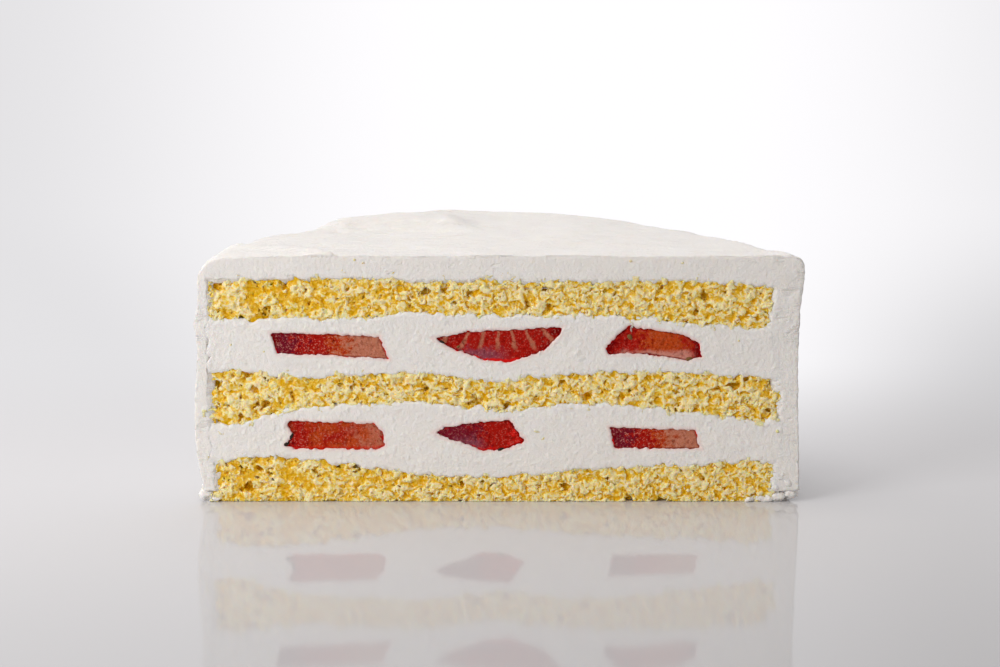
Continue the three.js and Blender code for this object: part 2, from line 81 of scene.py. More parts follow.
class Graph:
    """A node tree under construction, for shapes and for finishes alike."""

    def __init__(self, tree: bpy.types.NodeTree) -> None:
        """Starts on a tree.

        Args:
            tree: The tree that new nodes go into.
        """
        self.tree = tree

    def node(
        self, kind: str, settings: dict | None = None, inputs: dict | None = None
    ) -> bpy.types.Node:
        """Adds a node.

        Args:
            kind: Blender's name for the kind of node.
            settings: The node's own properties.
            inputs: What goes into its sockets, by name or index.

        Returns:
            The new node.
        """
        made = self.tree.nodes.new(kind)
        for key, value in (settings or {}).items():
            setattr(made, key, value)
        for key, value in (inputs or {}).items():
            self.feed(made.inputs[key], value)
        return made

    def feed(self, socket: Socket, value: Operand) -> None:
        """Links a socket to another, or sets its value.

        Args:
            socket: The socket.
            value: Another socket, or a value.
        """
        if isinstance(value, Socket):
            self.tree.links.new(value, socket)
        else:
            socket.default_value = value

    def math(self, operation: str, *values: Operand) -> Socket:
        """One step of arithmetic on numbers."""
        return self.node("ShaderNodeMath", {"operation": operation}, dict(enumerate(values))).outputs[0]

    def product(self, *values: Operand) -> Socket:
        """Numbers multiplied together."""
        return reduce(lambda so_far, value: self.math("MULTIPLY", so_far, value), values)

    def vector(self, operation: str, *values: Operand) -> Socket:
        """One step of arithmetic on vectors, whose answer is a vector."""
        settings = {"operation": operation}
        return self.node("ShaderNodeVectorMath", settings, dict(enumerate(values))).outputs[0]

    def scaled(self, vector: Operand, factor: Operand) -> Socket:
        """A vector made longer or shorter."""
        inputs = {0: vector, 3: factor}
        return self.node("ShaderNodeVectorMath", {"operation": "SCALE"}, inputs).outputs[0]

    def dot(self, a: Operand, b: Operand) -> Socket:
        """How far one vector goes along another."""
        settings = {"operation": "DOT_PRODUCT"}
        return self.node("ShaderNodeVectorMath", settings, {0: a, 1: b}).outputs["Value"]

    def parts(self, vector: Operand) -> tuple[Socket, ...]:
        """The three numbers of a vector."""
        return tuple(self.node("ShaderNodeSeparateXYZ", inputs={0: vector}).outputs)

    def point(self, x: Operand, y: Operand, z: Operand) -> Socket:
        """A vector from three numbers."""
        return self.node("ShaderNodeCombineXYZ", inputs={0: x, 1: y, 2: z}).outputs[0]

    def ramp(
        self, value: Operand, low: float, high: float, to: tuple[float, float] = (0.0, 1.0)
    ) -> Socket:
        """Eases smoothly between two values as a number goes from low to high.

        Args:
            value: The number.
            low: Where the change begins.
            high: Where it ends, which may be below low.
            to: The values before and after.

        Returns:
            The eased number.
        """
        if low > high:
            low, high, to = high, low, (to[1], to[0])
        inputs = {0: value, 1: low, 2: high, 3: to[0], 4: to[1]}
        return self.node("ShaderNodeMapRange", {"interpolation_type": "SMOOTHSTEP"}, inputs).outputs[0]

    def noise(
        self, at: Operand, grain: float, detail: float = 2.0, roughness: float = 0.5
    ) -> Socket:
        """Cloudy noise round zero.

        Args:
            at: Where, in millimetres.
            grain: The size of its lumps in millimetres.
            detail: How many finer octaves are added.
            roughness: How strong they are.

        Returns:
            A number from about -1 to 1.
        """
        inputs = {"Vector": at, "Scale": 1.0 / grain, "Detail": detail, "Roughness": roughness}
        made = self.node("ShaderNodeTexNoise", inputs=inputs).outputs[0]
        return self.math("MULTIPLY_ADD", made, 2.0, -1.0)

    def mix(self, share: Operand, a: Operand, b: Operand) -> Socket:
        """Mixes two colours.

        Args:
            share: The share of the second colour.
            a: The first colour, a socket or three numbers.
            b: The second colour.

        Returns:
            The mixed colour.
        """
        made = self.node("ShaderNodeMix", {"data_type": "RGBA"}, {0: share})
        for index, colour in ((6, a), (7, b)):
            linked = isinstance(colour, Socket)
            self.feed(made.inputs[index], colour if linked else (*colour, 1.0))
        return made.outputs[2]

    def stored(self, name: str) -> Socket:
        """A number stored for each corner, read in a finish."""
        return self.node("ShaderNodeAttribute", {"attribute_name": name}).outputs["Fac"]

    def stored_in_shape(self, name: str) -> Socket:
        """A number stored for each corner, read in a shape."""
        return self.node("GeometryNodeInputNamedAttribute", {"data_type": "FLOAT"}, {0: name}).outputs[0]

    def store(self, mesh: Socket, name: str, value: Operand) -> Socket:
        """Stores a number for each corner of a mesh, in a shape.

        Args:
            mesh: The mesh.
            name: The number's name.
            value: The number.

        Returns:
            The mesh with the number stored.
        """
        inputs = {0: mesh, "Name": name, "Value": value}
        settings = {"data_type": "FLOAT", "domain": "POINT"}
        return self.node("GeometryNodeStoreNamedAttribute", settings, inputs).outputs[0]

    def place(self) -> Socket:
        """Where a point lies, in millimetres, in a finish."""
        return self.scaled(self.node("ShaderNodeTexCoord").outputs["Object"], 1.0 / MM)

    def place_in_shape(self) -> Socket:
        """Where a point lies, in millimetres, in a shape."""
        return self.scaled(self.node("GeometryNodeInputPosition").outputs[0], 1.0 / MM)

    def normal(self) -> Socket:
        """The way that the surface faces, in a shape."""
        return self.node("GeometryNodeInputNormal").outputs[0]

    def bump(self, shader: bpy.types.Node, strength: float, depth: float, height: Operand) -> None:
        """Gives a finish a fine relief.

        Args:
            shader: The finish's main shader.
            strength: How strongly it shows.
            depth: Its depth in millimetres.
            height: The relief, from about -1 to 1.
        """
        inputs = {"Strength": strength, "Distance": depth * MM, "Height": height}
        self.feed(shader.inputs["Normal"], self.node("ShaderNodeBump", inputs=inputs).outputs[0])

    def cells(self, at: Operand, size: float, spread: float = 1.0) -> bpy.types.Node:
        """Voronoi cells of about the given size in millimetres."""
        inputs = {"Vector": at, "Scale": 1.0 / size, "Randomness": spread}
        return self.node("ShaderNodeTexVoronoi", inputs=inputs)


# ---- Mesh work -----------------------------------------------------------------------------------


def box_mm(node: str) -> tuple[Vector, Vector]:
    """The lowest and highest corner of a CAD node, in millimetres."""
    low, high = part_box(node)
    return low / MM, high / MM


def only(piece: bpy.types.Object) -> None:
    """Selects one object and nothing else, and makes it the active one.

    Args:
        piece: The object.
    """
    bpy.ops.object.select_all(action="DESELECT")
    piece.select_set(True)
    bpy.context.view_layer.objects.active = piece


def copied(node: str, name: str) -> bpy.types.Object:
    """Copies a CAD node as a new piece with its loose triangles joined.

    Args:
        node: The CAD node.
        name: The new piece's name.

    Returns:
        The new piece.
    """
    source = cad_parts[node]
    piece = bpy.data.objects.new(name, source.data.copy())
    bpy.context.scene.collection.objects.link(piece)
    piece.data.name = name
    piece.data.materials.clear()
    only(piece)
    bpy.ops.object.mode_set(mode="EDIT")
    bpy.ops.mesh.select_all(action="SELECT")
    bpy.ops.mesh.remove_doubles(threshold=1e-6)
    bpy.ops.object.mode_set(mode="OBJECT")
    return piece


def cut_off_front(piece: bpy.types.Object, y: float) -> None:
    """Bisects a piece, drops what is in front and closes the cut.

    Args:
        piece: The piece.
        y: Where it is cut, in metres.
    """
    only(piece)
    bpy.ops.object.mode_set(mode="EDIT")
    bpy.ops.mesh.select_all(action="SELECT")
    bpy.ops.mesh.bisect(
        plane_co=(0, y, 0), plane_no=(0, 1, 0), use_fill=True, clear_inner=True, clear_outer=False
    )
    bpy.ops.object.mode_set(mode="OBJECT")


def joined(first: bpy.types.Object, *others: bpy.types.Object) -> bpy.types.Object:
    """Joins pieces into the first one.

    Args:
        first: The piece that the others go into.
        others: The other pieces.

    Returns:
        The first piece.
    """
    only(first)
    for other in others:
        other.select_set(True)
    bpy.ops.object.join()
    return first


def shape_nodes(name: str, piece: bpy.types.Object, grow: Callable) -> None:
    """Reshapes a piece by a Geometry Nodes modifier, which is then applied.

    Args:
        name: The modifier's name.
        piece: The piece.
        grow: Takes the graph and the piece's geometry, and returns the new geometry.
    """
    tree = bpy.data.node_groups.new(name, "GeometryNodeTree")
    tree.interface.new_socket("Geometry", in_out="INPUT", socket_type="NodeSocketGeometry")
    tree.interface.new_socket("Geometry", in_out="OUTPUT", socket_type="NodeSocketGeometry")
    graph = Graph(tree)
    start = graph.node("NodeGroupInput").outputs[0]
    graph.node("NodeGroupOutput", inputs={0: grow(graph, start)})
    modifier = piece.modifiers.new(name, "NODES")
    modifier.node_group = tree
    only(piece)
    bpy.ops.object.modifier_apply(modifier=name)
    bpy.data.node_groups.remove(tree)


def corner_array(piece: bpy.types.Object) -> np.ndarray:
    """Reads a piece's corners.

    Args:
        piece: The piece.

    Returns:
        Rows of x, y and z in metres.
    """
    flat = np.empty(len(piece.data.vertices) * 3, dtype=np.float64)
    piece.data.vertices.foreach_get("co", flat)
    return flat.reshape(-1, 3)


def paint(piece: bpy.types.Object, name: str, values: np.ndarray) -> None:
    """Stores one number for each corner of a piece."""
    layer = piece.data.attributes.new(name, "FLOAT", "POINT")
    layer.data.foreach_set("value", values.astype(np.float32))


def painted(piece: bpy.types.Object, name: str) -> np.ndarray:
    """Reads the numbers stored for the corners of a piece.

    Args:
        piece: The piece.
        name: The numbers' name.

    Returns:
        One number for each corner.
    """
    values = np.empty(len(piece.data.vertices), dtype=np.float32)
    piece.data.attributes[name].data.foreach_get("value", values)
    return values.astype(np.float64)


def tree_of(node: str) -> BVHTree:
    """Makes a search tree over a CAD node's faces.

    Args:
        node: The CAD node.

    Returns:
        The search tree.
    """
    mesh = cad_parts[node].data
    corners = [v.co.copy() for v in mesh.vertices]
    return BVHTree.FromPolygons(corners, [tuple(p.vertices) for p in mesh.polygons])


# ---- Finishes ------------------------------------------------------------------------------------


def dress(piece: bpy.types.Object, material: bpy.types.Material) -> None:
    """Gives a piece one material all over."""
    piece.data.materials.clear()
    piece.data.materials.append(material)


def new_material(name: str) -> tuple[bpy.types.Material, Graph, bpy.types.Node]:
    """Starts a node material.

    Args:
        name: The material's name.

    Returns:
        The material, its graph and its main shader.
    """
    material = bpy.data.materials.new(name)
    material.use_nodes = True
    graph = Graph(material.node_tree)
    return material, graph, material.node_tree.nodes["Principled BSDF"]


def set_sheen(shader: bpy.types.Node, roughness: float, specular: float) -> None:
    """Sets how rough and how shiny a finish is."""
    shader.inputs["Roughness"].default_value = roughness
    shader.inputs["Specular IOR Level"].default_value = specular


def let_light_in(shader: bpy.types.Node, weight: float, radius: Colour, reach: float) -> None:
    """Lets light into a finish.

    Args:
        shader: The finish's main shader.
        weight: The share of the light that goes in.
        radius: How far red, green and blue go, as shares of the reach.
        reach: How far light goes, in millimetres.
    """
    shader.inputs["Subsurface Weight"].default_value = weight
    shader.inputs["Subsurface Radius"].default_value = radius
    shader.inputs["Subsurface Scale"].default_value = reach * MM


def across_sweeps(graph: Graph, x: Socket, y: Socket) -> Socket:
    """How far back a place on top lies, across the palette knife's bowed sweeps."""
    return graph.math("MULTIPLY_ADD", graph.math("MULTIPLY", x, x), BOW, y)


@dataclass(frozen=True)
class CrumbFinish:
    """Cut sponge: pale where the knife tore it, golden inside the bubbles, and darker low in the bubbles
    as painted shade.

    Attributes:
        ridge: The colour of the torn ridges.
        wall: The colour of the bubbles' walls.
        deep_shade: The colour at the bottom of the bubbles, darker and more saturated as painted shade.
    """

    ridge: Colour = (0.98, 0.82, 0.49)
    wall: Colour = (0.94, 0.66, 0.13)
    deep_shade: Colour = (0.80, 0.44, 0.004)

    def make(self) -> bpy.types.Material:
        """Builds the material.

        Returns:
            The material.
        """
        material, graph, shader = new_material("sponge crumb")
        place = graph.place()
        uneven = graph.math("MULTIPLY", graph.noise(place, 1.1, 3.0, 0.65), 0.35)
        grains = graph.ramp(graph.noise(place, 0.5, 2.0, 0.6), 0.1, -0.35, to=(0.0, 0.4))
        # Painted shade: the stored sinking of each corner moves the colour from the pale ridge through
        # the wall to the darker gold at the bottom of the bubbles. Pale ridges against golden walls are
        # the crumb's own tone; the darkening low in the bubbles is painted shade.
        level = graph.math("ADD", graph.math("ADD", graph.stored("hollow_shade"), uneven), grains)
        shallow = graph.mix(graph.ramp(level, 0.0, 0.6), self.ridge, self.wall)
        colour = graph.mix(graph.ramp(level, 0.45, 1.25), shallow, self.deep_shade)
        graph.feed(shader.inputs["Base Color"], colour)
        set_sheen(shader, 0.8, 0.02)
        let_light_in(shader, 0.7, (1.0, 0.75, 0.25), 0.9)
        graph.bump(shader, 0.5, 0.2, graph.noise(place, 0.45, 3.0))
        return material


@dataclass(frozen=True)
class CreamFinish:
    """Whipped cream, with painted red light round the fruit, where light from the slices bleeds into the
    cream.

    Attributes:
        name: The material's name.
        colour: The colour of plain cream.
        berry_red_light: The painted colour of red light from the fruit bleeding into the cream.
        roughness: How rough it is.
        strokes: How strongly the palette knife's fine streaks show.
    """

    name: str = "whipped cream"
    colour: Colour = (0.90, 0.87, 0.84)
    berry_red_light: Colour = (0.80, 0.22, 0.20)
    roughness: float = 0.5
    strokes: float = 0.0

    def make(self) -> bpy.types.Material:
        """Builds the material.

        Returns:
            The material.
        """
        material, graph, shader = new_material(self.name)
        place = graph.place()
        tint = graph.math("MULTIPLY_ADD", graph.noise(place, 6.0, 4.0), 0.02, 1.0)
        base = graph.scaled(self.colour, tint)
        # Painted light: near the slices the cream takes the red of light from the fruit bleeding into
        # it, by the share stored on each corner.
        graph.feed(shader.inputs["Base Color"], graph.mix(graph.stored("berry_red_light_share"), base, self.berry_red_light))
        set_sheen(shader, self.roughness, 0.3)
        let_light_in(shader, 0.3, (1.0, 0.8, 0.6), 0.8)
        grain = graph.noise(place, 0.8, 4.0, 0.6)
        if self.strokes:
            x, y, z = graph.parts(place)
            drawn = graph.point(graph.math("MULTIPLY", x, 0.1), across_sweeps(graph, x, y), z)
            streaks = graph.math("MULTIPLY", graph.noise(drawn, 1.3, 4.0, 0.6), self.strokes)
            grain = graph.math("MULTIPLY_ADD", streaks, graph.stored("swept"), grain)
        graph.bump(shader, 0.7, 0.24, grain)
        return material


class Flesh(Enum):
    """The colours of a cut strawberry."""

    SKIN = (0.17, 0.001, 0.002)
    DUSK = (0.19, 0.008, 0.022)
    VEIL = (0.27, 0.070, 0.105)
    RED = (0.42, 0.010, 0.005)
    # GLOW is painted light: the bright red of light shining through thin fruit.
    GLOW = (0.78, 0.012, 0.010)
    ORANGE = (0.52, 0.068, 0.010)
    PALE = (0.54, 0.195, 0.115)
    PINK = (0.66, 0.29, 0.23)


@dataclass(frozen=True)
class Spot:
    """A place on a slice, and the noise that the slice's colours share, in a finish.

    Attributes:
        graph: The finish's graph.
        place: The place in millimetres.
        across: Its share of the slice's length, from the left end.
        up: Its share of the slice's height, from the lower edge.
        cloud: Coarse noise.
        mottle: Finer noise.
        speckle: The finest noise.
    """

    graph: Graph
    place: Socket
    across: Socket
    up: Socket
    cloud: Socket
    mottle: Socket
    speckle: Socket

    def inner(self, middle: float, far: float, near: float) -> Socket:
        """1 near a place along the slice and 0 far from it, as shares of the slice's length."""
        off = self.graph.math("ABSOLUTE", self.graph.math("SUBTRACT", self.across, middle))
        return self.graph.ramp(off, far, near)

    def lower(self, waver: float, above: float, below: float) -> Socket:
        """1 below one share of the slice's height and 0 above another, along a wavering line."""
        return self.graph.ramp(self.graph.math("MULTIPLY_ADD", self.cloud, waver, self.up), above, below)


@dataclass(frozen=True)
class BerryFinish:
    """Moist cut strawberry.

    Attributes:
        node: The slice.
        stops: Colours from the slice's left end to its right, with their shares of its length.
        blooms: How strongly round orange patches show.
        flecks: How strongly fine pale flecks show.
        strands: How strongly pale strands fan down from a heart above the slice.
        band: How strongly a pale band shows along the lower edge.
        veil: How strongly a greyish film shows over the lower left.
        heart: How far above the slice the strands meet, in millimetres.
        skin: How strongly the dark red skin shows round the outline.
        glow: How strongly light shines through the lower edge.
        spacing: The angle between two strands, in radians.
    """

    node: str
    stops: tuple[tuple[float, Flesh], ...]
    blooms: float = 0.0
    flecks: float = 0.5
    strands: float = 0.0
    band: float = 0.0
    veil: float = 0.0
    heart: float = 14.0
    skin: float = 1.0
    glow: float = 0.0
    spacing: float = 0.215

    def make(self) -> bpy.types.Material:
        """Builds the material.

        Returns:
            The material.
        """
        material, graph, shader = new_material(f"{self.node} flesh")
        spot = self.spot(graph)
        colour = self.lengthways(spot)
        if self.blooms:
            colour = self.bloomed(spot, colour)
        if self.strands:
            colour = self.fanned(spot, colour)
        if self.veil:
            share = graph.product(spot.inner(0.33, 0.3, 0.1), spot.lower(0.4, 0.5, 0.25), self.veil)
            colour = graph.mix(share, colour, Flesh.VEIL.value)
        if self.band:
            share = graph.product(spot.lower(0.15, 0.36, 0.2), spot.inner(0.52, 0.44, 0.3), self.band)
            colour = graph.mix(share, colour, Flesh.PINK.value)
        colour = self.edged(spot, self.flecked(spot, colour))
        graph.feed(shader.inputs["Base Color"], colour)
        set_sheen(shader, 0.3, 0.015)
        let_light_in(shader, 0.2, (1.0, 0.25, 0.15), 0.6)
        graph.bump(shader, 0.6, 0.12, spot.speckle)
        return material

    def spot(self, graph: Graph) -> Spot:
        """Finds a place on this slice.

        Args:
            graph: The finish's graph.

        Returns:
            The place and its noise.
        """
        place = graph.place()
        low, high = box_mm(self.node)
        x, _, z = graph.parts(place)
        return Spot(
            graph,
            place,
            across=graph.math("DIVIDE", graph.math("SUBTRACT", x, low.x), high.x - low.x),
            up=graph.math("DIVIDE", graph.math("SUBTRACT", z, low.z), high.z - low.z),
            cloud=graph.noise(place, 2.2, 4.0, 0.65),
            mottle=graph.noise(place, 0.9, 3.0, 0.7),
            speckle=graph.noise(place, 0.42, 2.0, 0.7),
        )

    def lengthways(self, spot: Spot) -> Socket:
        """The colours from left to right.

        Args:
            spot: The place on the slice.

        Returns:
            The colour there.
        """
        graph = spot.graph
        uneven = graph.math("MULTIPLY_ADD", spot.mottle, 0.26, graph.math("MULTIPLY", spot.cloud, 0.3))
        bands = graph.node("ShaderNodeValToRGB", inputs={0: graph.math("ADD", uneven, spot.across)})
        steps = bands.color_ramp.elements
        for _ in self.stops[2:]:
            steps.new(1.0)
        for step, (position, flesh) in zip(steps, self.stops):
            step.position = position
            step.color = (*flesh.value, 1.0)
        return bands.outputs[0]

    def bloomed(self, spot: Spot, colour: Socket) -> Socket:
        """Adds the round orange patches.

        Args:
            spot: The place on the slice.
            colour: The colour so far.

        Returns:
            The new colour.
        """
        graph = spot.graph
        cells = graph.cells(spot.place, 4.2).outputs["Distance"]
        soft = graph.ramp(graph.math("MULTIPLY_ADD", spot.cloud, 0.5, cells), 0.8, 0.15)
        share = graph.product(soft, spot.inner(0.5, 0.5, 0.3), self.blooms)
        return graph.mix(share, colour, Flesh.ORANGE.value)

    def fanned(self, spot: Spot, colour: Socket) -> Socket:
        """Adds the pale strands that run down from the heart.

        Args:
            spot: The place on the slice.
            colour: The colour so far.

        Returns:
            The new colour.
        """
        graph = spot.graph
        x, _, z = graph.parts(spot.place)
        low, high = box_mm(self.node)
        sideways = graph.math("SUBTRACT", x, (low.x + high.x) / 2)
        down = graph.math("SUBTRACT", high.z + self.heart, z)
        turn = graph.math("MULTIPLY_ADD", spot.cloud, 0.05, graph.math("ARCTAN2", sideways, down))
        wave = graph.math("COSINE", graph.math("MULTIPLY", turn, 2 * math.pi / self.spacing))
        strand = graph.ramp(wave, 0.55, 1.0)
        reach = graph.ramp(graph.math("SUBTRACT", z, low.z), 2.6, 4.4)
        return graph.mix(graph.product(strand, reach, self.strands), colour, Flesh.PALE.value)

    def flecked(self, spot: Spot, colour: Socket) -> Socket:
        """Adds the fine pale flecks and dark mottles.

        Args:
            spot: The place on the slice.
            colour: The colour so far.

        Returns:
            The new colour.
        """
        graph = spot.graph
        fleck = graph.math("MULTIPLY_ADD", spot.mottle, 0.5, spot.speckle)
        pale = graph.math("MULTIPLY", graph.ramp(fleck, 0.06, 0.36), self.flecks)
        dark = graph.math("MULTIPLY", graph.ramp(spot.mottle, -0.02, -0.34), 0.5)
        return graph.mix(dark, graph.mix(pale, colour, Flesh.PINK.value), Flesh.SKIN.value)

    def edged(self, spot: Spot, colour: Socket) -> Socket:
        """Adds the dark skin round the outline, and the light that shines through its edge.

        Args:
            spot: The place on the slice.
            colour: The colour so far.

        Returns:
            The new colour.
        """
        graph = spot.graph
        rim = graph.math("MULTIPLY_ADD", spot.cloud, 0.35, graph.stored("rim"))
        skin = graph.math("MULTIPLY", graph.ramp(rim, 0.7, 0.15), self.skin)
        colour = graph.mix(skin, colour, Flesh.SKIN.value)
        # Painted light: the thinnest rim and the lower edge take the bright red of light shining through
        # the fruit.
        edge = graph.math("MULTIPLY", graph.ramp(rim, 0.3, 0.05), graph.ramp(spot.cloud, -0.1, 0.15))
        painted_light = graph.product(spot.lower(0.3, 0.2, 0.08), self.glow, graph.ramp(rim, 1.1, 0.5))
        return graph.mix(graph.math("MAXIMUM", edge, painted_light), colour, Flesh.GLOW.value)


# ---- Pieces on the cut ---------------------------------------------------------------------------


# How far a skin and the solid behind it overlap, in millimetres.
OVERLAP = 1.0

# Far outside any layer, in millimetres.
OUTSIDE = 9.0

# Straight up but for a hair, so that no ray runs along a wall.
UPWARD = (0.013, 0.021, 1.0)


@dataclass(frozen=True)
class Probe:
    """Measures a solid round a place, inside a shape's graph.

    Attributes:
        graph: The graph that grows.
        solid: The solid's mesh.
        where: The place, in metres.
    """

    graph: Graph
    solid: Socket
    where: Socket

    def ray(self, way: Sequence[float]) -> bpy.types.Node:
        """Looks for the solid's surface in one direction.

        Args:
            way: The direction.

        Returns:
            The node that looks.
        """
        ray = self.graph.node("GeometryNodeRaycast", inputs={0: self.solid})
        self.graph.feed(ray.inputs["Source Position"], self.where)
        ray.inputs["Ray Direction"].default_value = way
        ray.inputs["Ray Length"].default_value = 1.0
        return ray

    def room(self, way: Sequence[float]) -> Socket:
        """How far the surface lies in one direction, in millimetres, as seen from inside."""
        return self.graph.math("DIVIDE", self.ray(way).outputs["Hit Distance"], MM)

    def distance(self) -> Socket:
        """Measures the distance to the surface.

        Returns:
            The distance in millimetres, negative inside.
        """
        graph = self.graph
        near = graph.node("GeometryNodeProximity", {"target_element": "FACES"}, {0: self.solid})
        graph.feed(near.inputs["Sample Position"], self.where)
        ray = self.ray(UPWARD)
        leaves = graph.math("GREATER_THAN", graph.parts(ray.outputs["Hit Normal"])[2], 0.0)
        inside = graph.math("MULTIPLY", ray.outputs["Is Hit"], leaves)
        sign = graph.math("MULTIPLY_ADD", inside, -2.0, 1.0)
        return graph.math("DIVIDE", graph.math("MULTIPLY", near.outputs["Distance"], sign), MM)


def behind_cut(graph: Graph, y: Socket) -> Socket:
    """How far behind the cut a place lies, in millimetres."""
    return graph.math("SUBTRACT", y, CUT_Y / MM)


@dataclass
class CutPiece:
    """A piece that shows on the cut: a fine skin in front, and its solid behind.

    Attributes:
        node: The CAD node that it stands for.
        slot: The slot of its material; not used.
        material: Its finish.
        voxel: The size of the skin's voxels in millimetres.
        skin: How far the skin reaches behind the cut, in millimetres.
        margin: How far the skin may swell beyond the solid, in millimetres.
        budget: The most triangles that the skin may have.
        scrap: Bits of skin with fewer corners than this are dropped.
    """

    node: str
    slot: str
    material: bpy.types.Material
    voxel: float = 0.35
    skin: float = 4.0
    margin: float = 1.0
    budget: int = 180_000
    scrap: int = 600

    def body(self, graph: Graph, probe: Probe, place: Socket) -> Socket:
        """The finished body as a signed distance in millimetres.

        Args:
            graph: The graph that grows.
            probe: Measures the solid.
            place: Where, in millimetres.

        Returns:
            The distance, negative inside.
        """
        raise NotImplementedError

    def grow(self, graph: Graph, solid: Socket) -> Socket:
        """Fills the first millimetres of the solid with the finished body.

        Args:
            graph: The graph that grows.
            solid: The solid's mesh.

        Returns:
            The skin.
        """
        low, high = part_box(self.node)
        wide = self.margin * MM
        low = Vector((low.x - wide, CUT_Y - wide, low.z - wide))
        high = Vector((high.x + wide, CUT_Y + self.skin * MM, high.z + wide))
        steps = [max(4, round((b - a) / (self.voxel * MM))) for a, b in zip(low, high)]
        where = graph.node("GeometryNodeInputPosition").outputs[0]
        place = graph.scaled(where, 1.0 / MM)
        distance = self.body(graph, Probe(graph, solid, where), place)
        block = graph.node(
            "GeometryNodeVolumeCube",
            inputs={
                "Density": graph.math("MULTIPLY", distance, -1.0),
                "Background": -1.0,
                "Min": low,
                "Max": high,
                "Resolution X": steps[0],
                "Resolution Y": steps[1],
                "Resolution Z": steps[2],
            },
        )
        skin = graph.node("GeometryNodeVolumeToMesh", inputs={0: block.outputs[0]})
        skin.inputs["Threshold"].default_value = 0.0
        island = graph.node("GeometryNodeInputMeshIsland").outputs[0]
        total = graph.node("GeometryNodeAccumulateField", {"data_type": "INT"})
        total.inputs[0].default_value = 1
        graph.feed(total.inputs["Group ID"], island)
        scrap = graph.math("LESS_THAN", total.outputs["Total"], float(self.scrap))
        kept = graph.node("GeometryNodeDeleteGeometry", inputs={0: skin.outputs[0], 1: scrap})
        return graph.node("GeometryNodeSetShadeSmooth", inputs={0: kept.outputs[0]}).outputs[0]

    def mark(self, graph: Graph, mesh: Socket, place: Socket) -> Socket:
        """Stores what the finish reads. Here nothing."""
        return mesh

    def marked(self, graph: Graph, mesh: Socket) -> Socket:
        """Stores what the finish reads on the finished skin."""
        return self.mark(graph, mesh, graph.place_in_shape())

    def build(self) -> bpy.types.Object:
        """Models the piece and puts it in its node's place.

        Returns:
            The finished piece.
        """
        piece = copied(self.node, f"{self.node}_dressed")
        shape_nodes("skin", piece, self.grow)
        self.thin(piece)
        shape_nodes("marks", piece, self.marked)
        rest = copied(self.node, "rest")
        cut_off_front(rest, CUT_Y + (self.skin - OVERLAP) * MM)
        joined(piece, rest)
        dress(piece, self.material)
        self.finish(piece)
        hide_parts(self.node)
        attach(piece, BODY)
        LOG.info("%s: %d faces", piece.name, len(piece.data.polygons))
        return piece

    def thin(self, piece: bpy.types.Object) -> None:
        """Drops the least needed triangles where the skin has more than its budget.

        Args:
            piece: The piece.
        """
        piece.data.calc_loop_triangles()
        count = len(piece.data.loop_triangles)
        if count <= self.budget:
            return
        modifier = piece.modifiers.new("thin", "DECIMATE")
        modifier.ratio = self.budget / count
        only(piece)
        bpy.ops.object.modifier_apply(modifier="thin")
        bpy.ops.object.shade_smooth()

    def finish(self, piece: bpy.types.Object) -> None:
        """Last touches on the mesh. Here none."""


@dataclass(frozen=True)
class BubbleSize:
    """One size of bubble in the crumb.

    Attributes:
        apart: How far apart the bubbles lie, in millimetres.
        largest: The radius of the largest in millimetres.
        missing: The share of places that have none.
    """

    apart: float
    largest: float
    missing: float


BUBBLES = (BubbleSize(6.5, 1.8, 0.5), BubbleSize(2.7, 0.85, 0.35), BubbleSize(1.5, 0.55, 0.1))


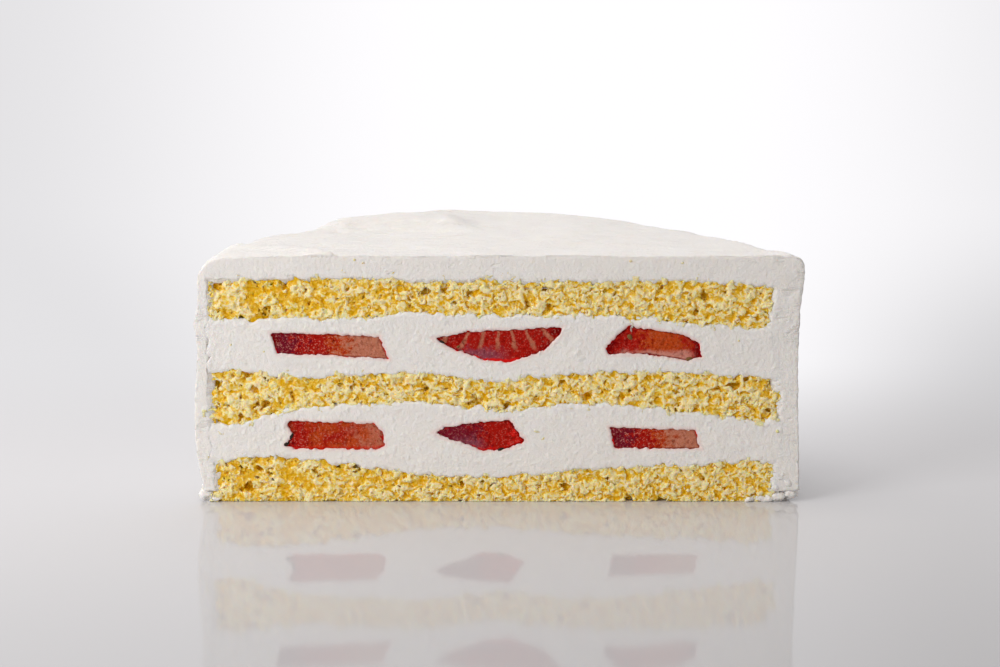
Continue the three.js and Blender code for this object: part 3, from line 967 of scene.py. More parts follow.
@dataclass
class SpongeLayer(CutPiece):
    """A layer of sponge, full of open bubbles.

    Attributes:
        seed: Sets its pattern of bubbles apart from the other layers'.
        corner: The usual radius of its four corners on the cut, in millimetres.
        bubbles_end: How far behind the cut the bubbles end, in millimetres.
    """

    seed: float = 0.0
    voxel: float = 0.22
    skin: float = 3.6
    budget: int = 185_000
    corner: float = 3.6
    bubbles_end: float = 2.2

    def body(self, graph: Graph, probe: Probe, place: Socket) -> Socket:
        """Pale torn clusters over golden hollows, the largest hollows towards the left end.

        Args:
            graph: The graph that grows.
            probe: Measures the solid.
            place: Where, in millimetres.

        Returns:
            The distance, negative inside.
        """
        shifted = self.shifted(graph, place)
        bent = self.bend(graph, shifted)
        along, depth, height = graph.parts(place)
        behind = behind_cut(graph, depth)
        leftness = self.leftness(graph, along)
        front = graph.math("SUBTRACT", self.torn(graph, bent, shifted, leftness), behind)
        bubbles = graph.math(
            "MAXIMUM",
            self.bubbles(graph, bent, leftness),
            graph.math("SUBTRACT", behind, self.bubbles_end),
        )
        ragged = graph.math("MULTIPLY", graph.noise(shifted, 2.2, 4.0, 0.68), 3.2)
        edge = graph.math("ADD", graph.math("SUBTRACT", probe.distance(), 0.4), ragged)
        edge = graph.math("MAXIMUM", edge, self.corners(graph, probe, along, shifted))
        filled = graph.math("MAXIMUM", edge, front)
        solid = graph.math("SMOOTH_MAX", filled, graph.math("MULTIPLY", bubbles, -1.0), 0.1)
        return graph.math("MAXIMUM", solid, graph.math("SUBTRACT", TABLE_GAP, height))

    def shifted(self, graph: Graph, place: Socket) -> Socket:
        """Places moved by the seed, so that no two layers look alike."""
        return graph.vector("ADD", place, (self.seed * 31.7, self.seed * 17.3, self.seed * 11.9))

    def leftness(self, graph: Graph, along: Socket) -> Socket:
        """0 in the right half, growing to 1 at the left end, where the crumb is coarser."""
        return graph.ramp(along, -5.0, -66.0)

    def torn(self, graph: Graph, bent: Socket, shifted: Socket, leftness: Socket) -> Socket:
        """How far behind the cut the torn face lies.

        Clusters of grains that the knife tore loose stand on smooth walls of crumb.

        Args:
            graph: The graph that grows.
            bent: The place bent by noise.
            shifted: The place moved by the layer's seed.
            leftness: How near the left end the place lies, from 0 to 1.

        Returns:
            The depth of the face in millimetres.
        """
        tight = graph.noise(shifted, 0.9, 2.0, 0.6)
        broad, cluster = self.clusters(graph, bent, shifted, leftness)
        grain = graph.cells(bent, 0.7)
        bead = graph.ramp(grain.outputs["Distance"], 0.7, 0.05)
        low = graph.math("MULTIPLY_ADD", broad, -0.9, 0.4)
        rise = graph.math("MULTIPLY_ADD", bead, 0.3, 0.2)
        lip = graph.math("SUBTRACT", low, graph.math("MULTIPLY", cluster, rise))
        return graph.math("MULTIPLY_ADD", tight, 0.45, lip)

    def clusters(
        self, graph: Graph, bent: Socket, shifted: Socket, leftness: Socket
    ) -> tuple[Socket, Socket]:
        """Finds the swell of the torn face, and the clusters of grains that stand on it.

        Args:
            graph: The graph that grows.
            bent: The place bent by noise.
            shifted: The place moved by the layer's seed.
            leftness: How near the left end the place lies, from 0 to 1.

        Returns:
            The swell from about -1 to 1, and how much of a cluster stands there, from 0 to 1.
        """
        coarse = graph.noise(bent, 3.4, 4.0, 0.66)
        fine = graph.noise(bent, 1.7, 3.0, 0.62)
        broad = graph.node("ShaderNodeMix", inputs={0: leftness, 2: fine, 3: coarse}).outputs[0]
        tight = graph.noise(shifted, 0.9, 2.0, 0.6)
        open_share = graph.math("MULTIPLY_ADD", leftness, 0.08, -0.05)
        pattern = graph.math("MULTIPLY_ADD", tight, 0.4, graph.math("SUBTRACT", broad, open_share))
        return broad, graph.ramp(pattern, -0.2, 0.16)

    def bubbles(self, graph: Graph, bent: Socket, leftness: Socket) -> Socket:
        """Round bubbles of three sizes.

        Args:
            graph: The graph that grows.
            bent: The place bent by noise.
            leftness: How near the left end the place lies, from 0 to 1.

        Returns:
            The distance to the nearest bubble in millimetres, negative inside one.
        """
        found = []
        for kind in BUBBLES:
            near = graph.cells(bent, kind.apart)
            draw = graph.parts(near.outputs["Color"])[0]
            size = graph.ramp(draw, kind.missing, 1.0)
            widest = graph.math("MULTIPLY_ADD", leftness, 0.3 * kind.largest, 0.7 * kind.largest)
            gap = graph.math("MULTIPLY", near.outputs["Distance"], kind.apart)
            found.append(graph.math("SUBTRACT", gap, graph.math("MULTIPLY", size, widest)))
        return graph.math("MINIMUM", graph.math("MINIMUM", found[0], found[1]), found[2])

    def corners(self, graph: Graph, probe: Probe, along: Socket, shifted: Socket) -> Socket:
        """Rounds the layer's four corners on the cut.

        Args:
            graph: The graph that grows.
            probe: Measures the solid.
            along: The place along x, in millimetres.
            shifted: The place moved by the layer's seed.

        Returns:
            The distance, positive outside the rounded corner.
        """
        low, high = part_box(self.node)
        radius = graph.math("MULTIPLY_ADD", graph.noise(shifted, 6.0, 2.0), 3.0, self.corner)
        from_left = graph.math("SUBTRACT", along, low.x / MM)
        from_right = graph.math("SUBTRACT", high.x / MM, along)
        end = graph.math("MINIMUM", from_left, from_right)
        side = graph.math("MINIMUM", probe.room((0, 0, 1)), probe.room((0, 0, -1)))
        legs = []
        for gap in (end, side):
            short = graph.math("MAXIMUM", graph.math("SUBTRACT", radius, gap), 0.0)
            legs.append(graph.math("MULTIPLY", short, short))
        reach = graph.math("SQRT", graph.math("ADD", *legs))
        both = graph.math("MULTIPLY", *(graph.math("GREATER_THAN", leg, 0.0) for leg in legs))
        outside = graph.math("MULTIPLY", graph.math("SUBTRACT", reach, radius), both)
        return graph.math("SUBTRACT", outside, graph.math("MULTIPLY_ADD", both, -OUTSIDE, OUTSIDE))

    def bend(self, graph: Graph, place: Socket) -> Socket:
        """Shifts places by noise, so that no bubble is round.

        Args:
            graph: The graph that grows.
            place: Where, in millimetres.

        Returns:
            The bent place.
        """
        stretched = graph.vector("MULTIPLY", place, (0.8, 1.0, 1.1))
        broad = graph.node("ShaderNodeTexNoise", inputs={"Vector": place, "Scale": 0.5, "Detail": 0.0})
        tight = graph.node("ShaderNodeTexNoise", inputs={"Vector": place, "Scale": 1.5, "Detail": 1.0})
        half = (0.5, 0.5, 0.5)
        first = graph.scaled(graph.vector("SUBTRACT", broad.outputs[1], half), 2.4)
        second = graph.scaled(graph.vector("SUBTRACT", tight.outputs[1], half), 1.1)
        return graph.vector("ADD", graph.vector("ADD", stretched, first), second)

    def mark(self, graph: Graph, mesh: Socket, place: Socket) -> Socket:
        """Stores how sunk each corner lies, from 0 on the ridges to 1, which the crumb finish turns into
        painted shade.

        Args:
            graph: The graph that grows.
            mesh: The mesh so far.
            place: Where, in millimetres.

        Returns:
            The mesh with the depths stored.
        """
        along, depth, _ = graph.parts(place)
        behind = behind_cut(graph, depth)
        shifted = self.shifted(graph, place)
        leftness = self.leftness(graph, along)
        cluster = self.clusters(graph, self.bend(graph, shifted), shifted, leftness)[1]
        smooth = graph.node(
            "GeometryNodeBlurAttribute", {"data_type": "FLOAT_VECTOR"}, {0: place, 1: 10}
        ).outputs[0]
        # Corners sunk below their blurred neighbours, and further behind the cut, get more painted
        # shade.
        raised = graph.dot(graph.vector("SUBTRACT", place, smooth), graph.normal())
        dip = graph.math("MULTIPLY_ADD", raised, -1.1, graph.ramp(behind, 0.7, 1.7, to=(0.0, 0.6)))
        hollow_shade = graph.math("MULTIPLY_ADD", cluster, -0.95, graph.math("ADD", dip, 0.95))
        return graph.store(mesh, "hollow_shade", hollow_shade)


@dataclass
class CreamLayer(CutPiece):
    """A layer of cream between two layers of sponge.

    Attributes:
        fruit: The slices in it.
        reach: How far the painted red light from the fruit reaches into the cream, in millimetres.
        half_width: How far the cream reaches to either side, in millimetres, so that it stays
            within the coat.
        berry_red_light_share: How strong the painted red light is next to the fruit.
    """

    fruit: tuple[str, ...] = ()
    reach: float = 0.9
    margin: float = 2.2
    half_width: float = 72.2
    berry_red_light_share: float = 0.55

    def body(self, graph: Graph, probe: Probe, place: Socket) -> Socket:
        """Cream pressed into the open crumb, hugging its fruit and cut by the knife.

        Args:
            graph: The graph that grows.
            probe: Measures the solid.
            place: Where, in millimetres.

        Returns:
            The distance, negative inside.
        """
        distance = probe.distance()
        by_fruit = self.by_fruit(graph, place)
        x, y, z = graph.parts(place)
        across = graph.math("ABSOLUTE", x)
        behind = behind_cut(graph, y)
        marks = graph.math("ADD", knife_marks(graph, place), sinking(graph, distance, place, 0.7, 0.2))
        near = graph.ramp(graph.math("ABSOLUTE", graph.math("SUBTRACT", distance, 0.1)), 0.9, 0.2)
        peak = graph.math("MULTIPLY", graph.ramp(graph.noise(place, 1.2, 2.0), 0.14, 0.45), near)
        front = graph.math("SUBTRACT", graph.math("MULTIPLY_ADD", peak, -0.3, marks), behind)
        loose = graph.math("MULTIPLY_ADD", graph.noise(place, 2.2, 3.0, 0.6), 2.2, -1.1)
        loose = graph.math("SUBTRACT", loose, graph.ramp(across, 65.0, 69.0, to=(0.0, 1.0)))
        tight = graph.math("MULTIPLY_ADD", graph.noise(place, 1.4, 3.0, 0.6), 0.9, -0.6)
        grown = graph.node("ShaderNodeMix", inputs={0: by_fruit, 2: loose, 3: tight}).outputs[0]
        edge = graph.math("ADD", distance, grown)
        wavering = graph.math("MULTIPLY_ADD", graph.noise(place, 2.5, 3.0), 2.4, across)
        edge = graph.math("MAXIMUM", edge, graph.math("SUBTRACT", wavering, self.half_width))
        bottom = graph.math("SUBTRACT", TABLE_GAP, z)
        return graph.math("MAXIMUM", graph.math("MAXIMUM", edge, front), bottom)

    def by_fruit(self, graph: Graph, place: Socket) -> Socket:
        """Tells where the slices of fruit are.

        Args:
            graph: The graph that grows.
            place: Where, in millimetres.

        Returns:
            1 round the slices and 0 elsewhere.
        """
        x, _, z = graph.parts(place)
        found = 0.0
        for berry in self.fruit:
            low, high = box_mm(berry)
            gaps = []
            for value, a, b in ((x, low.x, high.x), (z, low.z, high.z)):
                off = graph.math("ABSOLUTE", graph.math("SUBTRACT", value, (a + b) / 2))
                gaps.append(graph.math("SUBTRACT", off, (b - a) / 2))
            inside = graph.ramp(graph.math("MAXIMUM", *gaps), 2.0, 1.2)
            found = graph.math("MAXIMUM", inside, found)
        return found

    def finish(self, piece: bpy.types.Object) -> None:
        """Stores how much painted red light from the fruit each corner gets.

        Args:
            piece: The piece.
        """
        corners = corner_array(piece)
        nearest = np.full(len(corners), 1.0)
        wide = 2 * MM
        for berry in self.fruit:
            search = tree_of(berry)
            low, high = (np.array(c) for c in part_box(berry))
            close = np.all((corners > low - wide) & (corners < high + wide), axis=1)
            for index in np.flatnonzero(close):
                found = search.find_nearest(Vector(corners[index]))
                nearest[index] = min(nearest[index], found[3])
        # Painted light: the red from the fruit is strongest right next to the slices.
        near = np.clip(1.0 - nearest / (self.reach * MM), 0.0, 1.0)
        paint(piece, "berry_red_light_share", self.berry_red_light_share * near**2)


def knife_marks(graph: Graph, place: Socket) -> Socket:
    """Finds how far the cut cream lies behind the knife's plane.

    Args:
        graph: The graph that grows.
        place: Where, in millimetres.

    Returns:
        The depth in millimetres.
    """
    broad = graph.math("MULTIPLY", graph.noise(place, 11.0, 2.0), 0.16)
    stretched = graph.vector("MULTIPLY", place, (0.6, 1.0, 1.0))
    smears = graph.math("MULTIPLY", graph.noise(stretched, 3.2, 5.0, 0.55), 0.16)
    return graph.math("ADD", broad, smears)


def sinking(
    graph: Graph, beyond: Socket, place: Socket, flush: float, at_ends: float
) -> Socket:
    """How far cream that runs into the crumb falls back.

    Args:
        graph: The graph that grows.
        beyond: How far the cream runs into the crumb, in millimetres.
        place: Where, in millimetres.
        flush: How far it stays level, in millimetres.
        at_ends: How steeply it falls back at the slice's two ends.

    Returns:
        The depth in millimetres.
    """
    wander = graph.math("MULTIPLY_ADD", graph.noise(place, 1.5, 3.0, 0.6), 1.5, -flush)
    over = graph.math("MAXIMUM", graph.math("ADD", beyond, wander), 0.0)
    across = graph.math("ABSOLUTE", graph.parts(place)[0])
    return graph.math("MULTIPLY", over, graph.ramp(across, 62.0, 68.0, to=(0.7, at_ends)))


@dataclass
class BerrySlice(CutPiece):
    """A slice of strawberry in its bed of cream.

    Attributes:
        rim: How far in from its outline a slice knows its distance to it, in millimetres.
    """

    voxel: float = 0.24
    skin: float = 3.5
    rim: float = 1.3

    def body(self, graph: Graph, probe: Probe, place: Socket) -> Socket:
        """Fruit with a slightly uneven outline and face.

        Args:
            graph: The graph that grows.
            probe: Measures the solid.
            place: Where, in millimetres.

        Returns:
            The distance, negative inside.
        """
        jagged = graph.math("MULTIPLY", graph.noise(place, 1.3, 3.0, 0.65), 1.1)
        ragged = graph.math("ADD", graph.math("SUBTRACT", probe.distance(), 0.22), jagged)
        behind = behind_cut(graph, graph.parts(place)[1])
        rough = graph.math("MULTIPLY", graph.noise(place, 1.0, 3.0, 0.65), 0.25)
        front = graph.math("SUBTRACT", graph.math("ADD", rough, 0.16), behind)
        return graph.math("MAXIMUM", ragged, front)

    def finish(self, piece: bpy.types.Object) -> None:
        """Stores how far each corner of the face lies from the slice's outline.

        Args:
            piece: The piece.
        """
        search = tree_of(self.node)
        corners = corner_array(piece)
        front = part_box(self.node)[0].y
        rim = np.full(len(corners), self.rim)
        on_face = corners[:, 1] < front + 1.0 * MM
        for index in np.flatnonzero(on_face):
            x, _, z = corners[index]
            inside = Vector((x, front + self.rim * MM, z))
            place, normal, _, gap = search.find_nearest(inside)
            outside = (inside - place).dot(normal) > 0
            rim[index] = 0.0 if outside else gap / MM
        paint(piece, "rim", rim)


# ---- Coat ----------------------------------------------------------------------------------------


# A distance from the middle of the base that lies outside the coat, in metres.
BEYOND_COAT = 0.2


@dataclass(frozen=True)
class Lip:
    """The edge of one stroke of the palette knife on top, part of a circle.

    Attributes:
        x, y: The circle's middle in millimetres.
        radius: Its radius in millimetres.
        height: How far the edge stands up, in millimetres.
        front: How far towards the circle's middle the rise begins, in millimetres.
        back: How far beyond the circle it has gone, in millimetres.
        span: Its two ends along x, in millimetres.
        fade: The length over which each end fades, in millimetres.
    """

    x: float
    y: float
    radius: float
    height: float
    front: float
    back: float
    span: tuple[float, float]
    fade: float = 10.0

    def lift(self, graph: Graph, x: Socket, y: Socket, wander: Socket) -> Socket:
        """Finds how far it raises the cream at a place on top.

        Args:
            graph: The graph that grows.
            x: Where, in millimetres.
            y: Where, in millimetres.
            wander: How far the edge strays there, in millimetres.

        Returns:
            The height in millimetres.
        """
        flat = graph.point(graph.math("SUBTRACT", x, self.x), graph.math("SUBTRACT", y, self.y), 0.0)
        gap = graph.math("SUBTRACT", graph.math("SQRT", graph.dot(flat, flat)), self.radius)
        gap = graph.math("ADD", gap, wander)
        rise = graph.ramp(gap, -self.front, 0.0, to=(0.0, self.height))
        drop = graph.ramp(gap, 0.0, self.back, to=(1.0, 0.0))
        start = graph.ramp(x, self.span[0], self.span[0] + self.fade)
        end = graph.ramp(x, self.span[1], self.span[1] - self.fade)
        along = graph.math("MULTIPLY", start, end)
        return graph.product(rise, drop, along)


@dataclass
class Coat:
    """The coat of cream over the top and round the back, stroked by the palette knife.

    A flat strip, the section of the coat, is spun half a turn about the middle of the cut. Each
    corner then moves along its own ray from the middle of the base onto the coat's solid.

    Attributes:
        material: Its finish.
        node: The CAD node that it stands for.
        turns: The steps of the half turn.
        along: The strip's steps from the axis to the foot.
        across: The strip's steps from the outside to the inside.
        tucked: How far it runs on into the crumb, in millimetres.
        hidden_share: The share of the triangles hidden against the crumb that is kept.
        lips: The palette knife's main strokes on top.
    """

    material: bpy.types.Material
    node: str = "coat"
    turns: int = 190
    along: int = 264
    across: int = 20
    tucked: float = 3.2
    hidden_share: float = 0.06
    lips: tuple[Lip, ...] = (
        Lip(-90.8, -73.7, 61.8, 0.8, 7.0, 0.9, (-76.0, -32.0)),
        Lip(-26.0, -60.0, 68.0, -1.2, 7.0, 3.0, (-50.0, -6.0)),
        Lip(-26.0, -60.0, 74.0, 1.6, 3.5, 16.0, (-50.0, -4.0)),
        Lip(60.0, -150.0, 122.0, 0.5, 8.0, 1.1, (0.0, 62.0)),
        Lip(-30.0, -190.0, 166.0, 0.5, 6.0, 1.2, (-62.0, 14.0)),
        Lip(30.0, -230.0, 216.0, 0.45, 5.0, 1.0, (-10.0, 60.0)),
    )

    @property
    def reach(self) -> float:
        """The coat's outer radius."""
        low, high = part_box(self.node)
        return (high.x - low.x) / 2

    @property
    def height(self) -> float:
        """The coat's height over the base."""
        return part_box(self.node)[1].z

    def strip(self) -> bpy.types.Object:
        """Makes a standing strip, which knows its shares of length and thickness as along and depth.

        Returns:
            The strip.
        """
        bpy.ops.mesh.primitive_grid_add(
            x_subdivisions=self.along, y_subdivisions=self.across, size=1, location=(0.5, 0, 0.5),
            rotation=(math.pi / 2, 0, 0),
        )
        piece = bpy.context.active_object
        piece.name = "coat_dressed"
        bpy.ops.object.transform_apply(location=True, rotation=True, scale=True)
        corners = corner_array(piece)
        paint(piece, "along", corners[:, 0])
        paint(piece, "depth", 1.0 - corners[:, 2])
        return piece

    def spin(self, piece: bpy.types.Object) -> None:
        """Sweeps the strip round the back and closes it on the axis.

        Args:
            piece: The piece.
        """
        only(piece)
        bpy.ops.object.mode_set(mode="EDIT")
        bpy.ops.mesh.select_all(action="SELECT")
        bpy.ops.mesh.spin(steps=self.turns, angle=-math.pi, center=(0, 0, 0), axis=(0, 0, 1))
        bpy.ops.mesh.select_all(action="SELECT")
        bpy.ops.mesh.remove_doubles(threshold=1e-5)
        bpy.ops.mesh.normals_make_consistent(inside=False)
        bpy.ops.object.mode_set(mode="OBJECT")

    def profile(self, along: np.ndarray) -> tuple[np.ndarray, np.ndarray]:
        """Radius and height of a plain rounded section at shares of its length.

        Args:
            along: Shares from 0 at the axis to 1 at the foot.

        Returns:
            Radii and heights in metres.
        """
        turn = 6.0 * MM
        foot = 3.0 * MM
        flat = self.reach - turn
        bend = turn * math.pi / 2
        wall = self.height - turn - foot
        run = along * (flat + bend + wall)
        angle = np.clip((run - flat) / turn, 0.0, math.pi / 2)
        down = np.clip(run - flat - bend, 0.0, None)
        radius = np.minimum(run, flat) + turn * np.sin(angle)
        height = self.height - turn * (1 - np.cos(angle)) - down
        return radius, height

    def stations(self) -> tuple[np.ndarray, np.ndarray]:
        """Radius and height of the plain section at each of its steps, in metres."""
        return self.profile(np.arange(self.along + 1) / self.along)

    def surfaces(self) -> tuple[np.ndarray, np.ndarray]:
        """Measures the coat's solid along the rays from the middle of the base.

        Returns:
            Distances in metres to the outer surface, its facets rounded off, and to the inner
            surface, with a row for each turn and a column for each step of the section.
        """
        search = tree_of(self.node)
        base = Vector((0, CUT_Y + 0.2 * MM, 0))
        outer = np.zeros((self.turns + 1, self.along + 1))
        inner = np.zeros_like(outer)
        out, up = self.stations()
        length = np.hypot(out, up)
        for row in range(self.turns + 1):
            around = math.pi * row / self.turns
            for column in range(self.along + 1):
                flat = out[column] / length[column]
                rise = up[column] / length[column]
                way = Vector((math.cos(around) * flat, math.sin(around) * flat, rise))
                far = base + way * BEYOND_COAT
                outer[row, column] = BEYOND_COAT - search.ray_cast(far, -way)[3]
                inner[row, column] = search.ray_cast(base, way)[3]
        return self.smoothed(outer), inner

    def fit(self, piece: bpy.types.Object) -> None:
        """Moves every corner onto the coat's solid.

        Args:
            piece: The piece.
        """
        corners = corner_array(piece)
        along = painted(piece, "along")
        depth = painted(piece, "depth")
        angle = np.abs(np.arctan2(corners[:, 1], corners[:, 0]))
        on_axis = np.hypot(corners[:, 0], corners[:, 1]) < 1e-4
        angle = np.where(on_axis, math.pi / 2, angle)
        radius, height = self.profile(along)
        rows = np.rint(angle / math.pi * self.turns).astype(int)
        columns = np.rint(along * self.along).astype(int)
        outer, inner = self.surfaces()
        room = inner[rows, columns]
        inner -= self.tucked * MM
        length = np.hypot(*self.stations())
        depth_here = np.clip(depth, 0.0, 1.0)
        distance = outer[rows, columns] * (1 - depth_here) + inner[rows, columns] * depth_here
        share = distance / length[columns]
        flat = radius * share
        placed = np.column_stack([
            np.cos(angle) * flat, CUT_Y + np.abs(np.sin(angle)) * flat, height * share
        ])
        piece.data.vertices.foreach_set("co", placed.ravel())
        piece.data.update()
        paint(piece, "beyond", np.clip((room - distance) / MM, 0.0, None))
        hidden = (depth > 0.99) & (placed[:, 1] > CUT_Y + 1.5 * MM)
        self.thin_inside(piece, hidden)

    def thin_inside(self, piece: bpy.types.Object, hidden: np.ndarray) -> None:
        """Drops most of the triangles that lie hidden against the crumb.

        Args:
            piece: The piece.
            hidden: Whether each corner lies hidden.
        """
        only(piece)
        bpy.ops.object.mode_set(mode="EDIT")
        bpy.ops.mesh.select_mode(type="FACE")
        bpy.ops.mesh.select_all(action="DESELECT")
        bpy.ops.object.mode_set(mode="OBJECT")
        for face in piece.data.polygons:
            face.select = all(hidden[corner] for corner in face.vertices)
        bpy.ops.object.mode_set(mode="EDIT")
        bpy.ops.mesh.decimate(ratio=self.hidden_share)
        bpy.ops.mesh.select_mode(type="VERT")
        bpy.ops.object.mode_set(mode="OBJECT")

    @staticmethod
    def smoothed(grid: np.ndarray) -> np.ndarray:
        """Rounds off the solid's facets.

        Args:
            grid: Distances in rows and columns.

        Returns:
            The distances with their facets rounded off.
        """
        reach, softness = 5, 2.2
        weights = np.exp(-0.5 * (np.arange(-reach, reach + 1) / softness) ** 2)
        weights /= weights.sum()
        padded = np.pad(grid, reach, mode="reflect", reflect_type="odd")
        rows = np.apply_along_axis(np.convolve, 0, padded, weights, mode="valid")
        return np.apply_along_axis(np.convolve, 1, rows, weights, mode="valid")

    def stroke(self, graph: Graph, mesh: Socket) -> Socket:
        """Marks of the cake knife on the cut and of the palette knife elsewhere.

        Args:
            graph: The graph that grows.
            mesh: The mesh so far.

        Returns:
            The mesh with the marks.
        """
        place = graph.place_in_shape()
        depth = graph.parts(place)[1]
        on_cut = graph.math("LESS_THAN", depth, CUT_Y / MM + 0.05)
        beyond = graph.stored_in_shape("beyond")
        marks = graph.math("ADD", knife_marks(graph, place), sinking(graph, beyond, place, 1.1, 0.45))
        cut = graph.point(0.0, graph.math("MULTIPLY", marks, MM), 0.0)
        moved = graph.node("GeometryNodeSetPosition", inputs={0: mesh, 1: on_cut, 3: cut}).outputs[0]
        outside = graph.ramp(graph.stored_in_shape("depth"), 0.1, 0.0)
        lift = graph.math("MULTIPLY", self.palette(graph, place), graph.math("MULTIPLY", outside, MM))
        raised = graph.scaled(graph.vector("MULTIPLY", graph.normal(), (1.0, 0.7, 1.0)), lift)
        stroked = graph.node("GeometryNodeSetPosition", inputs={0: moved, 3: raised}).outputs[0]
        swept = graph.store(stroked, "swept", graph.math("SUBTRACT", 1.0, on_cut))
        return graph.node("GeometryNodeSetShadeSmooth", inputs={0: swept}).outputs[0]

    def palette(self, graph: Graph, place: Socket) -> Socket:
        """Finds how far the palette knife's strokes raise the cream.

        Args:
            graph: The graph that grows.
            place: Where, in millimetres.

        Returns:
            The height in millimetres.
        """
        x, y, z = graph.parts(place)
        on_top = graph.ramp(graph.parts(graph.normal())[2], 0.45, 0.9)
        around = graph.math("MULTIPLY", graph.math("ARCTAN2", behind_cut(graph, y), x), 60.0)
        swept = graph.point(graph.math("MULTIPLY", around, 0.12), 0.0, z)
        wall = graph.math("MULTIPLY", graph.noise(swept, 3.4, 3.0, 0.6), 0.8)
        drawn = graph.point(graph.math("MULTIPLY", x, 0.11), across_sweeps(graph, x, y), 0.0)
        fine = graph.math("MULTIPLY", graph.noise(drawn, 2.0, 3.0, 0.6), 0.5)
        broad = graph.math("MULTIPLY", graph.noise(drawn, 7.0, 2.0), 1.0)
        top = graph.math("ADD", fine, broad)
        wander = graph.math("MULTIPLY", graph.noise(place, 9.0, 2.0), 2.0)
        for lip in self.lips:
            top = graph.math("ADD", top, lip.lift(graph, x, y, wander))
        loose = graph.math("MULTIPLY", graph.noise(place, 26.0, 1.0), 0.7)
        strokes = graph.node("ShaderNodeMix", inputs={0: on_top, 2: wall, 3: top}).outputs[0]
        return graph.math("ADD", strokes, graph.math("SUBTRACT", loose, 0.25))

    def build(self) -> bpy.types.Object:
        """Models the coat and puts it in its node's place.

        Returns:
            The finished piece.
        """
        piece = self.strip()
        self.spin(piece)
        self.fit(piece)
        shape_nodes("strokes", piece, self.stroke)
        dress(piece, self.material)
        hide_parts(self.node)
        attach(piece, BODY)
        LOG.info("%s: %d faces", piece.name, len(piece.data.polygons))
        return piece


# ---- Small things on the cut ---------------------------------------------------------------------


@dataclass(frozen=True)
class PlainFinish:
    """One colour, slightly uneven.

    Attributes:
        name: The material's name.
        colour: The colour.
        uneven: How much it varies, as a share.
        roughness: How rough it is.
    """

    name: str
    colour: Colour
    uneven: float = 0.4
    roughness: float = 0.5

    def make(self) -> bpy.types.Material:
        """Builds the material.

        Returns:
            The material.
        """
        material, graph, shader = new_material(self.name)
        place = graph.place()
        shade = graph.math("MULTIPLY_ADD", graph.noise(place, 0.5, 3.0), self.uneven, 1.0)
        graph.feed(shader.inputs["Base Color"], graph.scaled(self.colour, shade))
        set_sheen(shader, self.roughness, 0.2)
        return material


@dataclass(frozen=True)
class Bit:
    """One small thing on the cut.

    Attributes:
        x, z: Where its middle lies on the cut, in millimetres.
        size: Its half lengths along x, y and z, in millimetres.
        tilt: Its turn on the cut, in degrees.
        behind: How far its middle lies behind the knife's plane, in millimetres.
    """

    x: float
    z: float
    size: tuple[float, float, float]
    tilt: float = 0.0
    behind: float = 0.0


@dataclass
class Scatter:
    """Small things of one kind, in one mesh.

    Attributes:
        name: The piece's name.
        slot: The slot of its material; not used.
        material: Its finish.
        bits: The small things.
        lumps: How far their surface swells and sinks, in millimetres.
        grain: The size of its lumps in millimetres.
        proud: How far they may stand in front of the cut, in millimetres.
        taper: How much narrower each is towards its tip, as a share of its half length.
    """

    name: str
    slot: str
    material: bpy.types.Material
    bits: Sequence[Bit]
    lumps: float = 0.0
    grain: float = 1.0
    proud: float = 0.8
    taper: float = 0.25

    def bit(self, bit: Bit) -> bpy.types.Object:
        """Models one of them as a rounded lump with a narrower tip.

        Args:
            bit: What to model.

        Returns:
            The lump.
        """
        place = (bit.x * MM, CUT_Y + bit.behind * MM, bit.z * MM)
        turn = (0, math.radians(bit.tilt), 0)
        bpy.ops.mesh.primitive_uv_sphere_add(
            segments=28, ring_count=18, radius=1.0, location=place, rotation=turn
        )
        made = bpy.context.active_object
        for corner in made.data.vertices:
            narrowed = 1.0 - self.taper * corner.co.x
            corner.co.y *= narrowed
            corner.co.z *= narrowed
        made.scale = Vector(bit.size) * MM
        bpy.ops.object.transform_apply(location=True, rotation=True, scale=True)
        bpy.ops.object.shade_smooth()
        return made

    def roughen(self, graph: Graph, mesh: Socket) -> Socket:
        """Makes each lump uneven and keeps it above the table.

        Args:
            graph: The graph that grows.
            mesh: The mesh so far.

        Returns:
            The uneven mesh.
        """
        where = graph.node("GeometryNodeInputPosition").outputs[0]
        place = graph.scaled(where, 1.0 / MM)
        swell = graph.math("MULTIPLY", graph.noise(place, self.grain, 3.0, 0.6), self.lumps * MM)
        moved = graph.vector("ADD", where, graph.scaled(graph.normal(), swell))
        # Far to the left of the cake, so that x is never held back.
        anywhere = -1.0
        placed = graph.vector("MAXIMUM", moved, (anywhere, CUT_Y - self.proud * MM, 0.0))
        return graph.node("GeometryNodeSetPosition", inputs={0: mesh, 2: placed}).outputs[0]

    def build(self) -> bpy.types.Object:
        """Models them all and dresses them in their finish.

        Returns:
            The finished piece.
        """
        piece = joined(*(self.bit(bit) for bit in self.bits))
        piece.name = self.name
        if self.lumps:
            shape_nodes("lumps", piece, self.roughen)
        # The cream and crumb finishes read these: no painted red light from the fruit, and no painted
        # shade of the bubbles.
        nothing = np.zeros(len(piece.data.vertices))
        paint(piece, "berry_red_light_share", nothing)
        paint(piece, "hollow_shade", nothing)
        dress(piece, self.material)
        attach(piece, BODY)
        LOG.info("%s: %d faces", piece.name, len(piece.data.polygons))
        return piece


def on_slice(berry: str, across: float, up: float, size: Sequence[float], tilt: float = 0.0) -> Bit:
    """A seed on a slice.

    Args:
        berry: The slice.
        across: Share of the slice's length from its left end.
        up: Share of its height from its lower edge.
        size: The seed's half lengths in millimetres.
        tilt: Its turn in degrees.

    Returns:
        The seed.
    """
    low, high = box_mm(berry)
    x = low.x + across * (high.x - low.x)
    z = low.z + up * (high.z - low.z)
    return Bit(x, z, tuple(size), tilt, behind=0.25)


# ---- Studio --------------------------------------------------------------------------------------


